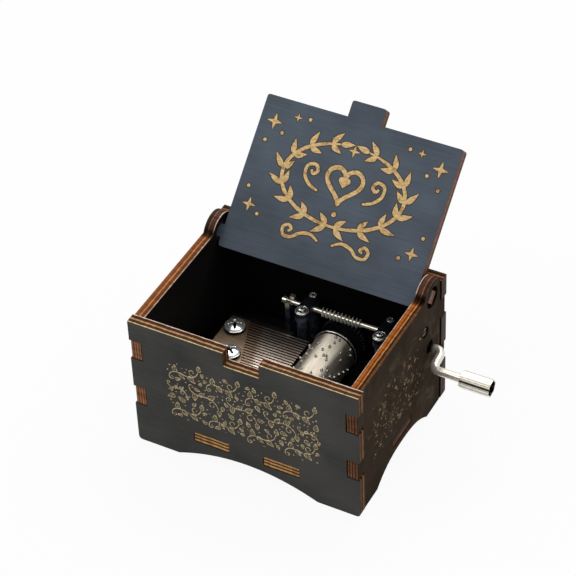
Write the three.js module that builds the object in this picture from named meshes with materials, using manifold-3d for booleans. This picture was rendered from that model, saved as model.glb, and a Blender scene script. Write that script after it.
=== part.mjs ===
// Hand-cranked music box: a laser-cut plywood case with a hinged lid, holding a pinned-cylinder
// movement with an eighteen-note comb. Millimetres, +Z up, +X to the right along the front, +Y back.
// The lid stands open at its stop and the crank arm points forward.
import * as THREE from "three";
import { mergeVertices } from "three/addons/utils/BufferGeometryUtils.js";
import Module from "manifold-3d";

const wasm = await Module();
wasm.setup();

// Plywood case
const ply = 3;
const caseHeight = 41;
const backRise = 0.3; // the back panel stands this much above the others and stops the lid
const faceOverhang = 0.4; // the front and back panels reach past the side panels' faces
const kerf = 0.12; // laser gap on each side of a finger or tab
const fingerRecess = 0.15; // finger and tab ends stop short of the face that they come through
const fingerHeight = 5.9;
const lowFingerZ = 13;
const highFingerZ = 28.7;
const floorZ = 6.5; // underside of the bottom panel
const tabWidth = 10;
const tabOffset = 10; // from the middle of the case to the middle of a front or back tab
const frontArchHalf = 20;
const frontArchRise = 4.3;
const sideArchHalf = 14.5;
const sideArchRise = 4.5;
const footCorner = 1.2;
const frontArchPowerShare = 2; // the arches' outlines as powers of the share of their half width
const sideArchPowerShare = 2.6;
const notchWidth = 10; // thumb notch in the front panel's top edge
const notchDepth = 4.4;
const notchCorner = 0.5;

// Lid and its pivot in the ears of the side panels
const pivotFromBack = 7.6;
const pivotDrop = 1.7; // below the case's top edge
const earRadius = 5.5;
const earBehindPivot = 0.4; // the middle of the ear's arc
const earBelowPivot = 0.7;
const pivotHoleRadius = 3;
const lidPegWidth = 3.4;
const lidSideGap = 0.8;
const lidReach = 37.5; // from the pivot to the front edge
const lidHeel = 4; // from the pivot to the rear edge
const lidTabReach = 4.4;
const lidTabGap = 0.2;
const lidCorner = 0.8;
const lidLeanDegrees = 43.5; // the open lid above the horizontal, leaning back

// Movement: bed plate, pinned cylinder, comb
const bedThickness = 1.6;
const bedFromLeft = 4.6; // from the panels' inner faces, so that the case fits the movement
const bedFromRight = 5.6;
const bedFromBack = 1.4;
const bedFromFront = 9.4;
const bedPastBracket = 1.42; // in front of the front arbor bracket
const bedPastBearing = 4; // right of the right bearing's middle
const bedWindowMargin = 1; // the window clears the cylinder down to this much below the bed's top
const cylinderFromBedLeft = 31;
const cylinderAboveFloor = 0.7; // from the floor to the pins' circle
const cylinderRadius = 5.8;
const cylinderWall = 0.6;
const pinHeight = 0.6;
const pinRadius = 0.24;
const pinTipRadius = 0.17;
const capThickness = 0.8;
const capLip = 0.35; // cap rims stand proud of the cylinder
const cylinderMargin = 1.84; // from the middle of an outer tooth to the cylinder's end
const arborRadius = 1;
const runningClearance = 0.1;
const assemblyGap = 0.3; // between pieces that are fixed to each other
const toothCount = 18;
const toothPitch = 0.92;
const toothWidth = 0.52;
const toothThickness = 0.6;
const combFromBedBack = 11.7; // to the middle of the rearmost, longest tooth
const combMargin = 0.75; // heel beyond the outer teeth
const combAboveAxis = 1.9; // top of the comb above the cylinder's axis
const pluckGap = 0.25; // from the pins' circle to the tooth tips
const longestTooth = 17.4;
const shortestTooth = 11.9;
const combFromBedLeft = 1.5;
const combHeelThickness = 1.4;
const combScrewFromLeft = 3.1; // the rear screw, from the heel's left and rear edges
const combScrewFromRear = 4.15;
const combScrewStepX = 3.5; // from the rear screw to the front one
const combScrewStepY = 9.1;
const combBlockEdge = 0.6;
const ribLength = 17.7;
const ribDepth = 2.3;
const weightedTeeth = 6;
const weightLength = 3;
const weightHeight = 1.1;

// Arbor brackets
const bracketThickness = 1.5;
const bracketHead = 2.6;
const bracketFoot = 4.4;

// Worm shaft, its bearings and the crank
const wormFromBedBack = 4.6;
const shaftRadius = 0.65;
const threadRadius = 1.3;
const threadWidth = 0.32;
const threadTipWidth = 0.22;
const threadTurns = 9;
const gearTeeth = 34;
const gearRadius = 6.15;
const gearToothDepth = 0.65;
const gearThickness = 1.5;
const gearHubRadius = 2.3;
const gearMeshGap = 0.2; // from the thread to the bottom of a tooth space
const gearToothShare = 0.34; // tooth width over pitch at the rim
const gearRootShare = 0.52; // and at the root
const bearingLeftFromBedLeft = 20.6;
const bearingRightFromBedLeft = 43;
const bearingPostSpan = 6.4;
const bearingPostRadius = 1.35;
const bearingBlockHeight = 1.5;
const bearingFrontRadius = 1.9; // the block and its cap taper from the washer back
const bearingRearRadius = 1.4;
const bearingCapHeight = 1.2;
const washerRadius = 1.85;
const washerThickness = 0.35;
const thrustFromBedLeft = 15.6;
const thrustThickness = 1.3;
const thrustWidth = 4;
const saddleHeight = 1.9;
const collarRadius = 0.95;
const collarLength = 1.2;
const socketRadius = 1.9;
const socketLength = 4.4;
const socketFromWall = 0.6;
const wireRadius = 1.18;
const wireInSocket = 2.6;
const crankHoleRadius = 1.8;
const crankThrow = 6.2; // from the shaft's axis to the grip's axis
const crankDroopDegrees = 10; // the arm below the horizontal, pointing forward
const crankArmFromWall = 3.6; // from the wall's face to the middle of the arm
const crankBend = 2;
const gripFromWall = 11.8;
const gripLength = 8.2;
const gripAcrossFlats = 4.5;
const gripWall = 0.38;
const gripEndWall = 0.8;
const gripCorner = 0.75;
const gripTurnDegrees = 18;
const gripBoreClearance = 0.25;
const gripStopRadius = 1.6;
const gripStopLength = 0.7;
const wireShortOfGrip = 1.6;

// Screws: head radius, head height, shank radius and length
const combScrew = { head: 2.85, height: 1.7, shank: 1.1, length: 5.4 };
const capScrew = { head: 1.05, height: 0.85, shank: 0.45, length: 2.6 };
const bedScrew = { head: 1.9, height: 1.2, shank: 0.95, length: 4.3 };
const wallScrew = { head: 1.3, height: 0.8, shank: 0.6, length: 2.7 };
const headTaperShare = 0.88; // radius of a head's top over its foot
const slotShare = 0.24; // slot width over head diameter
const slotDepthShare = 0.4; // slot depth over head height
const bedScrewInset = 3.4; // from the bed's edges
const wallScrewSink = 1.1; // into the right panel
const wallScrewFromBack = 11.5;
const wallScrewAboveFloor = 21.1;

const cutOverrun = 1;
const cylinderSides = 40;
const roundSides = 24;
const smallSides = 12;
const pinSides = 5;
const arcSteps = 14;
const archSteps = 20;
const wireSteps = 56;

// Places that follow from the sizes
const bedWidth = bearingRightFromBedLeft + bedPastBearing;
const frontBracketFromBedBack =
  combFromBedBack +
  (toothCount - 1) * toothPitch +
  cylinderMargin +
  capThickness +
  assemblyGap +
  bracketThickness;
const bedDepth = frontBracketFromBedBack + bedPastBracket;
const caseWidth = bedFromLeft + bedWidth + bedFromRight + 2 * (ply + faceOverhang);
const caseDepth = bedFromFront + bedDepth + bedFromBack + 2 * ply;
const innerFrontY = caseDepth / 2 - ply;
const sideFaceX = caseWidth / 2 - faceOverhang;
const sideInnerX = sideFaceX - ply;
const pivotY = caseDepth / 2 - pivotFromBack;
const pivotZ = caseHeight - pivotDrop;
const floorTop = floorZ + ply;
const bedTop = floorTop + bedThickness;
const bedBack = innerFrontY - bedFromBack;
const bedFront = bedBack - bedDepth;
const bedLeft = bedFromLeft - sideInnerX;
const bedRight = bedLeft + bedWidth;
const pinCircle = cylinderRadius + pinHeight;
const cylinderX = bedLeft + cylinderFromBedLeft;
const axisZ = floorTop + cylinderAboveFloor + pinCircle;
const wormY = bedBack - wormFromBedBack;
const gearRoot = gearRadius - gearToothDepth;
const wormZ = axisZ + gearRoot + gearMeshGap + threadRadius;
const combTop = axisZ + combAboveAxis;
const combUnder = combTop - combHeelThickness;
const combRearY = bedBack - combFromBedBack;
const combFrontY = combRearY - (toothCount - 1) * toothPitch;
const combLeft = bedLeft + combFromBedLeft;
const heelRear = combRearY + combMargin;
const heelFront = combFrontY - combMargin;
const cylinderRear = combRearY + cylinderMargin;
const cylinderFront = combFrontY - cylinderMargin;
const capRadius = cylinderRadius + capLip;
const thrustX = bedLeft + thrustFromBedLeft;
const rearBracketY = wormY + gearThickness / 2 + 2 * assemblyGap;
const frontBracketY = bedBack - frontBracketFromBedBack;
const threadPitch = (Math.PI * (2 * gearRadius - gearToothDepth)) / gearTeeth;
const toothTipDrop = combAboveAxis - toothThickness;
const tipX = cylinderX - Math.sqrt((pinCircle + pluckGap) ** 2 - toothTipDrop ** 2);
const lean = THREE.MathUtils.degToRad(lidLeanDegrees);
const droop = THREE.MathUtils.degToRad(crankDroopDegrees);
const gripY = wormY - crankThrow * Math.cos(droop);
const gripZ = wormZ - crankThrow * Math.sin(droop);
const armX = sideFaceX + crankArmFromWall;
const gripX = sideFaceX + gripFromWall;
const wireEnd = gripX + gripLength - wireShortOfGrip;
const socketEnd = sideInnerX - socketFromWall;

// Colours, roughness and metalness
const finish = (color, roughness, metalness) => ({ color, roughness, metalness });
const stainedPly = finish(0x3a3c40, 0.7, 0);
const lidPly = finish(0x4a535e, 0.7, 0);
const darkCasting = finish(0x1d222b, 0.5, 0.5);
const nickel = finish(0xd8d2c6, 0.2, 1);
const combSteel = finish(0x8f8578, 0.35, 1);
const blackSteel = finish(0x17181b, 0.4, 0.8);

// Turns that carry a shape drawn in X and Y, and its depth in Z, onto the case's faces
const axisX = new THREE.Vector3(1, 0, 0);
const axisY = new THREE.Vector3(0, 1, 0);
const axisZUp = new THREE.Vector3(0, 0, 1);
const turnTo = (u, v, w) => new THREE.Matrix4().makeBasis(u, v, w);
const flat = new THREE.Matrix4();
const facingFront = turnTo(axisX, axisZUp, axisY.clone().negate());
const facingRight = turnTo(axisY, axisZUp, axisX);
const facingBack = turnTo(axisZUp, axisX, axisY);

function toSolid(geometry) {
  const bare = new THREE.BufferGeometry();
  bare.setAttribute("position", geometry.getAttribute("position"));
  bare.setIndex(geometry.getIndex());
  const merged = mergeVertices(bare);
  return new wasm.Manifold(
    new wasm.Mesh({
      numProp: 3,
      vertProperties: merged.getAttribute("position").array,
      triVerts: new Uint32Array(merged.getIndex().array),
    }),
  );
}

function toGeometry(solid) {
  const { numProp, vertProperties, triVerts } = solid.getMesh();
  const corners = new Float32Array(triVerts.length * 3);
  triVerts.forEach((vertex, i) => {
    corners.set(vertProperties.subarray(vertex * numProp, vertex * numProp + 3), i * 3);
  });
  const geometry = new THREE.BufferGeometry();
  geometry.setAttribute("position", new THREE.BufferAttribute(corners, 3));
  geometry.computeVertexNormals();
  return geometry;
}

function join(pieces) {
  return toGeometry(pieces.map(toSolid).reduce((whole, piece) => whole.add(piece)));
}

function cut(base, tools) {
  return toGeometry(tools.map(toSolid).reduce((rest, tool) => rest.subtract(tool), toSolid(base)));
}

// A closed outline through [u, v] or [u, v, corner radius] points
function outline(points) {
  const shape = new THREE.Shape();
  const at = ([u, v]) => new THREE.Vector2(u, v);
  points.forEach((point, i) => {
    const here = at(point);
    const radius = point[2] ?? 0;
    const before = at(points.at(i - 1));
    const after = at(points[(i + 1) % points.length]);
    const start = here.clone().add(before.sub(here).setLength(radius));
    if (i === 0) shape.moveTo(start.x, start.y);
    else shape.lineTo(start.x, start.y);
    if (radius > 0) {
      const end = here.clone().add(after.sub(here).setLength(radius));
      shape.quadraticCurveTo(here.x, here.y, end.x, end.y);
    }
  });
  shape.closePath();
  return shape;
}

function rectangle(u0, u1, v0, v1) {
  return outline([
    [u0, v0],
    [u1, v0],
    [u1, v1],
    [u0, v1],
  ]);
}

function circle(u, v, radius, sides) {
  const points = [];
  for (let i = 0; i < sides; i++) {
    const angle = (2 * Math.PI * i) / sides;
    points.push([u + radius * Math.cos(angle), v + radius * Math.sin(angle)]);
  }
  return outline(points);
}

function roundHole(u, v, radius) {
  return circle(u, v, radius, roundSides);
}

function sheet(shape, thickness, turn, offset, curveSegments = 6) {
  const geometry = new THREE.ExtrudeGeometry(shape, {
    depth: thickness,
    bevelEnabled: false,
    curveSegments,
  });
  return geometry.translate(0, 0, offset).applyMatrix4(turn);
}

function block(x0, x1, y0, y1, z0, z1) {
  const geometry = new THREE.BoxGeometry(x1 - x0, y1 - y0, z1 - z0);
  return geometry.translate((x0 + x1) / 2, (y0 + y1) / 2, (z0 + z1) / 2);
}

// A round bar along the turned Z axis, from one distance to the other
function rod(radius, from, to, turn, sides = roundSides, endRadius = radius) {
  const geometry = new THREE.CylinderGeometry(endRadius, radius, to - from, sides);
  return geometry.rotateX(Math.PI / 2).translate(0, 0, (from + to) / 2).applyMatrix4(turn);
}

function piece(name, geometry, look) {
  const mesh = new THREE.Mesh(geometry, new THREE.MeshStandardMaterial(look));
  mesh.name = name;
  return mesh;
}

// Case panels
const fingerRows = [lowFingerZ, highFingerZ];

function archPoints(half, rise, power) {
  const points = [];
  for (let i = 0; i <= archSteps; i++) {
    const share = (2 * i) / archSteps - 1;
    points.push([half * share, rise * (1 - Math.abs(share) ** power)]);
  }
  return points;
}

// The slot that a bottom tab comes through, as a cutter along the panel's own turn
function tabSlot(middle, turn, from) {
  const half = tabWidth / 2 + kerf;
  const shape = rectangle(middle - half, middle + half, floorZ - kerf, floorTop + kerf);
  return sheet(shape, ply + 2 * cutOverrun, turn, from - cutOverrun);
}

// Front and back panels: open slots at both ends take the side panels' fingers
function endPanel(name, height, notched, from) {
  const half = caseWidth / 2;
  const slotU = sideInnerX - kerf;
  const rightSide = fingerRows.flatMap((z) => [
    [half, z - kerf],
    [slotU, z - kerf],
    [slotU, z + fingerHeight + kerf],
    [half, z + fingerHeight + kerf],
  ]);
  const leftSide = rightSide.map(([u, v]) => [-u, v]).reverse();
  const notchFloor = height - notchDepth;
  const notch = [
    [notchWidth / 2, height],
    [notchWidth / 2, notchFloor, notchCorner],
    [-notchWidth / 2, notchFloor, notchCorner],
    [-notchWidth / 2, height],
  ];
  const shape = outline([
    [-half, 0, footCorner],
    ...archPoints(frontArchHalf, frontArchRise, frontArchPowerShare),
    [half, 0, footCorner],
    ...rightSide,
    [half, height],
    ...(notched ? notch : []),
    [-half, height],
    ...leftSide,
  ]);
  const slots = [-tabOffset, tabOffset].map((middle) => tabSlot(middle, facingFront, from));
  return piece(name, cut(sheet(shape, ply, facingFront, from), slots), stainedPly);
}

// Side panels: fingers at both ends, and an ear round the lid's pivot at the back
function sidePanelShape() {
  const reach = caseDepth / 2 - fingerRecess;
  const backSide = fingerRows.flatMap((z) => [
    [innerFrontY, z],
    [reach, z],
    [reach, z + fingerHeight],
    [innerFrontY, z + fingerHeight],
  ]);
  const frontSide = backSide.map(([u, v]) => [-u, v]).reverse();
  const earY = pivotY + earBehindPivot;
  const earZ = pivotZ - earBelowPivot;
  const earStart = Math.acos((innerFrontY - earY) / earRadius);
  const earEnd = Math.PI - Math.asin((caseHeight - earZ) / earRadius);
  const ear = [];
  for (let i = 0; i <= arcSteps; i++) {
    const angle = earStart + ((earEnd - earStart) * i) / arcSteps;
    ear.push([earY + earRadius * Math.cos(angle), earZ + earRadius * Math.sin(angle)]);
  }
  const shape = outline([
    [-innerFrontY, 0],
    ...archPoints(sideArchHalf, sideArchRise, sideArchPowerShare),
    [innerFrontY, 0],
    ...backSide,
    ...ear,
    [-innerFrontY, caseHeight],
    ...frontSide,
  ]);
  shape.holes.push(roundHole(pivotY, pivotZ, pivotHoleRadius));
  return shape;
}

function leftPanel() {
  const panel = sheet(sidePanelShape(), ply, facingRight, -sideFaceX);
  return piece("left_panel", cut(panel, [tabSlot(0, facingRight, -sideFaceX)]), stainedPly);
}

// The right panel also has the crank's hole and a sunk hole for the wall screw
const wallScrewY = caseDepth / 2 - wallScrewFromBack;
const wallScrewZ = floorTop + wallScrewAboveFloor;
const sunkFaceX = sideFaceX - wallScrewSink;

function rightPanel() {
  const shape = sidePanelShape();
  shape.holes.push(roundHole(wallScrewY, wallScrewZ, wallScrew.shank + assemblyGap));
  shape.holes.push(roundHole(wormY, wormZ, crankHoleRadius));
  const panel = sheet(shape, ply, facingRight, sideInnerX);
  const sink = rod(wallScrew.head + assemblyGap, sunkFaceX, sideFaceX + cutOverrun, facingRight);
  sink.translate(0, wallScrewY, wallScrewZ);
  return piece("right_panel", cut(panel, [sink, tabSlot(0, facingRight, sideInnerX)]), stainedPly);
}

const bedScrewPlaces = [
  [bedLeft + bedScrewInset, bedFront + bedScrewInset],
  [bedRight - bedScrewInset, bedFront + bedScrewInset],
  [bedLeft + bedScrewInset, bedBack - bedScrewInset],
];

function bottomPanelShape() {
  const tabY = caseDepth / 2 - fingerRecess;
  const tabX = sideFaceX - fingerRecess;
  const half = tabWidth / 2;
  const quarter = [
    [sideInnerX, half],
    [sideInnerX, innerFrontY],
    [tabOffset + half, innerFrontY],
    [tabOffset + half, tabY],
    [tabOffset - half, tabY],
    [tabOffset - half, innerFrontY],
  ];
  const rear = [[tabX, half], ...quarter];
  const rearLeft = rear.map(([u, v]) => [-u, v]).reverse();
  const back = [...rear, ...rearLeft];
  const front = back.map(([u, v]) => [-u, -v]);
  const shape = outline([...back, ...front]);
  for (const [x, y] of bedScrewPlaces) {
    shape.holes.push(roundHole(x, y, bedScrew.shank + assemblyGap));
  }
  return shape;
}

function caseParts() {
  return [
    endPanel("front_panel", caseHeight, true, innerFrontY),
    endPanel("back_panel", caseHeight + backRise, false, -caseDepth / 2),
    leftPanel(),
    rightPanel(),
    piece("bottom_panel", sheet(bottomPanelShape(), ply, flat, floorZ), stainedPly),
  ];
}

// Lid: drawn from its pivot, its pegs turning in the ears' holes
function lidPart() {
  const half = sideInnerX - lidSideGap;
  const pegEnd = sideFaceX - fingerRecess;
  const pegHalf = lidPegWidth / 2;
  const tabHalf = notchWidth / 2 - lidTabGap;
  const right = [
    [half, -lidHeel, lidCorner],
    [half, -pegHalf],
    [pegEnd, -pegHalf],
    [pegEnd, pegHalf],
    [half, pegHalf],
    [half, lidReach, lidCorner],
    [tabHalf, lidReach],
    [tabHalf, lidReach + lidTabReach, lidCorner],
  ];
  const left = right.map(([u, v, radius]) => [-u, v, radius]).reverse();
  const lid = piece("lid", sheet(outline([...right, ...left]), ply, flat, -ply / 2), lidPly);
  const hinge = new THREE.Group();
  hinge.position.set(0, pivotY, pivotZ);
  hinge.rotation.x = lean;
  hinge.add(lid);
  return hinge;
}

// A slotted screw along the turned Z axis, its head standing on zero
function screw(name, size, turn, x, y, z, look) {
  const head = rod(size.head, 0, size.height, turn, roundSides, size.head * headTaperShare);
  const shank = rod(size.shank, -size.length, cutOverrun / 2, turn, smallSides);
  const slotHalf = size.head * slotShare;
  const slotFloor = size.height * (1 - slotDepthShare);
  const slot = block(
    -size.head - cutOverrun,
    size.head + cutOverrun,
    -slotHalf,
    slotHalf,
    slotFloor,
    size.height + cutOverrun,
  );
  const whole = cut(join([head, shank]), [slot.applyMatrix4(turn)]);
  return piece(name, whole.translate(x, y, z), look);
}

// Bed plate with the raised comb block and the rib behind the comb
const rootX = (y) => {
  const rearRoot = tipX - longestTooth;
  const slant = (longestTooth - shortestTooth) / (combRearY - combFrontY);
  return rearRoot + slant * (combRearY - y);
};
const rearScrewX = combLeft + combScrewFromLeft;
const rearScrewY = heelRear - combScrewFromRear;
const combScrewPlaces = [
  ["comb_screw_rear", rearScrewX, rearScrewY],
  ["comb_screw_front", rearScrewX + combScrewStepX, rearScrewY - combScrewStepY],
];

function bedPlate() {
  const widest = Math.max(pinCircle, gearRadius);
  const windowHalf = Math.sqrt(widest ** 2 - (axisZ - bedTop - bedWindowMargin) ** 2);
  const windowFront = cylinderFront - capThickness - assemblyGap;
  const windowBack = wormY + gearThickness / 2 + assemblyGap;
  const plate = rectangle(bedLeft, bedRight, bedFront, bedBack);
  plate.holes.push(
    rectangle(cylinderX - windowHalf, cylinderX + windowHalf, windowFront, windowBack),
  );
  for (const [x, y] of bedScrewPlaces) {
    plate.holes.push(roundHole(x, y, bedScrew.shank + assemblyGap));
  }
  const blockLeft = combLeft - combBlockEdge;
  const ribRight = blockLeft + ribLength;
  const combBlock = outline([
    [blockLeft, heelFront],
    [rootX(heelFront) - combBlockEdge, heelFront],
    [rootX(heelRear) - combBlockEdge, heelRear],
    [ribRight, heelRear],
    [ribRight, heelRear + ribDepth],
    [blockLeft, heelRear + ribDepth],
  ]);
  const blockHeight = combUnder - bedTop;
  const body = join([
    sheet(plate, bedThickness, flat, floorTop),
    sheet(combBlock, blockHeight + bedThickness / 2, flat, bedTop - bedThickness / 2),
  ]);
  const holes = combScrewPlaces.map(([, x, y]) => {
    const depth = combScrew.length + assemblyGap;
    const hole = rod(combScrew.shank + assemblyGap, combTop - depth, combTop, flat, smallSides);
    return hole.translate(x, y, 0);
  });
  return piece("bed_plate", cut(body, holes), darkCasting);
}

// Comb: a slanted heel with eighteen teeth, lead weights under the longest
function combPart() {
  const toothHalf = toothWidth / 2;
  const toothEdge = [];
  const weights = [];
  for (let i = 0; i < toothCount; i++) {
    const y = combRearY - i * toothPitch;
    toothEdge.push(
      [rootX(y + toothHalf), y + toothHalf],
      [tipX, y + toothHalf],
      [tipX, y - toothHalf],
      [rootX(y - toothHalf), y - toothHalf],
    );
    if (i < weightedTeeth) {
      const weightTop = combTop - toothThickness / 2;
      const weightEnd = tipX - toothWidth;
      weights.push(
        block(
          weightEnd - weightLength,
          weightEnd,
          y - toothHalf,
          y + toothHalf,
          weightTop - weightHeight,
          weightTop,
        ),
      );
    }
  }
  const teeth = outline([
    [combLeft, heelFront],
    [combLeft, heelRear],
    [rootX(heelRear), heelRear],
    ...toothEdge,
    [rootX(heelFront), heelFront],
  ]);
  const heel = outline([
    [combLeft, heelFront],
    [combLeft, heelRear],
    [rootX(heelRear) - combBlockEdge, heelRear],
    [rootX(heelFront) - combBlockEdge, heelFront],
  ]);
  const body = join([
    sheet(teeth, toothThickness, flat, combTop - toothThickness),
    sheet(heel, combHeelThickness, flat, combUnder),
    ...weights,
  ]);
  const holes = combScrewPlaces.map(([, x, y]) => {
    const hole = rod(
      combScrew.shank + assemblyGap,
      combUnder - cutOverrun,
      combTop + cutOverrun,
      flat,
      smallSides,
    );
    return hole.translate(x, y, 0);
  });
  return piece("comb", cut(body, holes), combSteel);
}

// Cylinder: a thin tube set with pins, a row of three to six to each tooth, unevenly spaced
const fewestPins = 3;
const pinCounts = 4;
const rowTurnShares = 11 / 36; // of a turn, from one row to the next
const unevenShares = [0, 0.25, 0.08, 0.33, 0.17]; // of the space between two pins
const pinTwistDegrees = 17; // a pin's own turn, so that its sides cross the tube's facets askew

function pins() {
  const all = [];
  const seat = cylinderWall / 2;
  for (let row = 0; row < toothCount; row++) {
    const count = fewestPins + ((row * (pinCounts + 1)) % pinCounts);
    for (let i = 0; i < count; i++) {
      const uneven = unevenShares[(row * fewestPins + i) % unevenShares.length];
      const angle = 2 * Math.PI * ((i + uneven) / count + row * rowTurnShares);
      const pin = rod(pinRadius, cylinderRadius - seat, pinCircle, flat, pinSides, pinTipRadius);
      pin.rotateZ(THREE.MathUtils.degToRad(pinTwistDegrees)).rotateY(angle);
      all.push(pin.translate(cylinderX, combRearY - row * toothPitch, axisZ));
    }
  }
  return all;
}

function ringProfile(inner, outer, from, to) {
  return [
    new THREE.Vector2(inner, from),
    new THREE.Vector2(outer, from),
    new THREE.Vector2(outer, to),
    new THREE.Vector2(inner, to),
    new THREE.Vector2(inner, from),
  ];
}

// A ring or tube round the cylinder's axis: a lathe turns about Y, as the cylinder does
function ring(inner, outer, from, to, sides) {
  return new THREE.LatheGeometry(ringProfile(inner, outer, from, to), sides);
}

function cylinderParts() {
  const inner = cylinderRadius - cylinderWall;
  const boreRadius = arborRadius + assemblyGap;
  const atAxis = (geometry) => geometry.translate(cylinderX, 0, axisZ);
  const tube = ring(inner, cylinderRadius, cylinderFront, cylinderRear, cylinderSides);
  const shell = join([atAxis(tube), ...pins()]);
  const cap = (from) => ring(boreRadius, capRadius, from, from + capThickness, cylinderSides);
  const frontCap = cap(cylinderFront - capThickness);
  const rearCap = cap(cylinderRear);
  const arbor = rod(arborRadius, frontBracketY, rearBracketY + bracketThickness, facingBack);
  return [
    piece("cylinder_shell", shell, nickel),
    piece("cylinder_cap_front", atAxis(frontCap), nickel),
    piece("cylinder_cap_rear", atAxis(rearCap), nickel),
    piece("cylinder_arbor", atAxis(arbor), nickel),
    driveGear(boreRadius),
  ];
}

// The gear has a tooth space straight above the axis, where the worm's thread passes
function driveGear(boreRadius) {
  const step = (2 * Math.PI) / gearTeeth;
  const points = [];
  for (let i = 0; i < gearTeeth; i++) {
    const middle = (i + 0.5) * step;
    const corner = (radius, share) => {
      const angle = middle + step * share;
      return [radius * Math.sin(angle), radius * Math.cos(angle)];
    };
    points.push(
      corner(gearRoot, -gearRootShare / 2),
      corner(gearRadius, -gearToothShare / 2),
      corner(gearRadius, gearToothShare / 2),
      corner(gearRoot, gearRootShare / 2),
    );
  }
  const shape = outline(points);
  shape.holes.push(roundHole(0, 0, boreRadius));
  const wheel = sheet(shape, gearThickness, facingFront, -wormY - gearThickness / 2);
  const hubFront = cylinderRear + capThickness + assemblyGap;
  const hub = ring(boreRadius, gearHubRadius, hubFront, wormY, roundSides);
  return piece("drive_gear", join([wheel, hub]).translate(cylinderX, 0, axisZ), blackSteel);
}

// Upright brackets that carry the arbor at both ends of the cylinder
function arborBracket(name, y) {
  const arc = [];
  for (let i = 0; i <= arcSteps; i++) {
    const angle = (Math.PI * i) / arcSteps;
    arc.push([cylinderX + bracketHead * Math.cos(angle), axisZ + bracketHead * Math.sin(angle)]);
  }
  const shape = outline([
    [cylinderX - bracketFoot, bedTop],
    [cylinderX + bracketFoot, bedTop],
    ...arc,
  ]);
  shape.holes.push(roundHole(cylinderX, axisZ, arborRadius + runningClearance));
  return piece(name, sheet(shape, bracketThickness, facingFront, -y - bracketThickness), darkCasting);
}

// Worm bearings: a tapered block on two posts, under a cap held by two screws. The straight sides
// touch both round ends.
function taperedShape(middleX, span, frontRadius, rearRadius) {
  const slant = Math.asin((frontRadius - rearRadius) / span);
  const shape = new THREE.Shape();
  shape.absarc(middleX, wormY + span / 2, rearRadius, slant, Math.PI - slant);
  shape.absarc(middleX, wormY - span / 2, frontRadius, Math.PI - slant, 2 * Math.PI + slant);
  shape.closePath();
  return shape;
}

function wormBearing(side, x) {
  const halfSpan = bearingPostSpan / 2;
  const plan = () => taperedShape(x, bearingPostSpan, bearingFrontRadius, bearingRearRadius);
  const blockZ = wormZ - bearingBlockHeight;
  const screwHole = (y) => {
    const bottom = wormZ + bearingCapHeight - capScrew.length - assemblyGap;
    const hole = rod(capScrew.shank + assemblyGap, bottom, wormZ + 2 * bearingCapHeight, flat, smallSides);
    return hole.translate(x, y, 0);
  };
  const holes = () => [screwHole(wormY - halfSpan), screwHole(wormY + halfSpan)];
  const shaftHole = () => {
    const reach = bearingFrontRadius + cutOverrun;
    const hole = rod(shaftRadius + runningClearance, x - reach, x + reach, facingRight);
    return hole.translate(0, wormY, wormZ);
  };
  const posts = [-halfSpan, halfSpan].map((offset) => {
    const post = rod(bearingPostRadius, bedTop, blockZ + bearingBlockHeight / 2, flat, smallSides);
    return post.translate(x, wormY + offset, 0);
  });
  const blockBody = sheet(plan(), bearingBlockHeight, flat, blockZ);
  const capBody = sheet(plan(), bearingCapHeight, flat, wormZ);
  const capTop = wormZ + bearingCapHeight;
  const washer = ring(capScrew.shank + assemblyGap, washerRadius, 0, washerThickness, roundSides);
  washer.rotateX(Math.PI / 2).translate(x, wormY - halfSpan, capTop);
  const frontScrewZ = capTop + washerThickness;
  return [
    piece(
      "worm_bearing_" + side,
      cut(join([blockBody, ...posts]), [...holes(), shaftHole()]),
      darkCasting,
    ),
    piece("bearing_cap_" + side, cut(capBody, [...holes(), shaftHole()]), darkCasting),
    piece("cap_washer_" + side, washer, nickel),
    screw("cap_screw_" + side + "_front", capScrew, flat, x, wormY - halfSpan, frontScrewZ, nickel),
    screw("cap_screw_" + side + "_rear", capScrew, flat, x, wormY + halfSpan, capTop, nickel),
  ];
}

// Thrust post: a flat post with a forked saddle that keeps the shaft's end from wandering
function thrustParts() {
  const saddleZ = wormZ + shaftRadius + assemblyGap - saddleHeight;
  const x0 = thrustX - thrustThickness / 2;
  const x1 = thrustX + thrustThickness / 2;
  const y0 = wormY - thrustWidth / 2;
  const y1 = wormY + thrustWidth / 2;
  const post = block(x0, x1, y0, y1, bedTop, saddleZ);
  const saddle = block(x0, x1, y0, y1, saddleZ, saddleZ + saddleHeight);
  const grooveRadius = shaftRadius + runningClearance;
  const groove = rod(grooveRadius, x0 - cutOverrun, x1 + cutOverrun, facingRight);
  const mouth = block(
    x0 - cutOverrun,
    x1 + cutOverrun,
    wormY - grooveRadius,
    wormY + grooveRadius,
    wormZ,
    wormZ + saddleHeight,
  );
  return [
    piece("thrust_post", post, darkCasting),
    piece("thrust_saddle", cut(saddle, [groove.translate(0, wormY, wormZ), mouth]), nickel),
  ];
}

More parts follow.
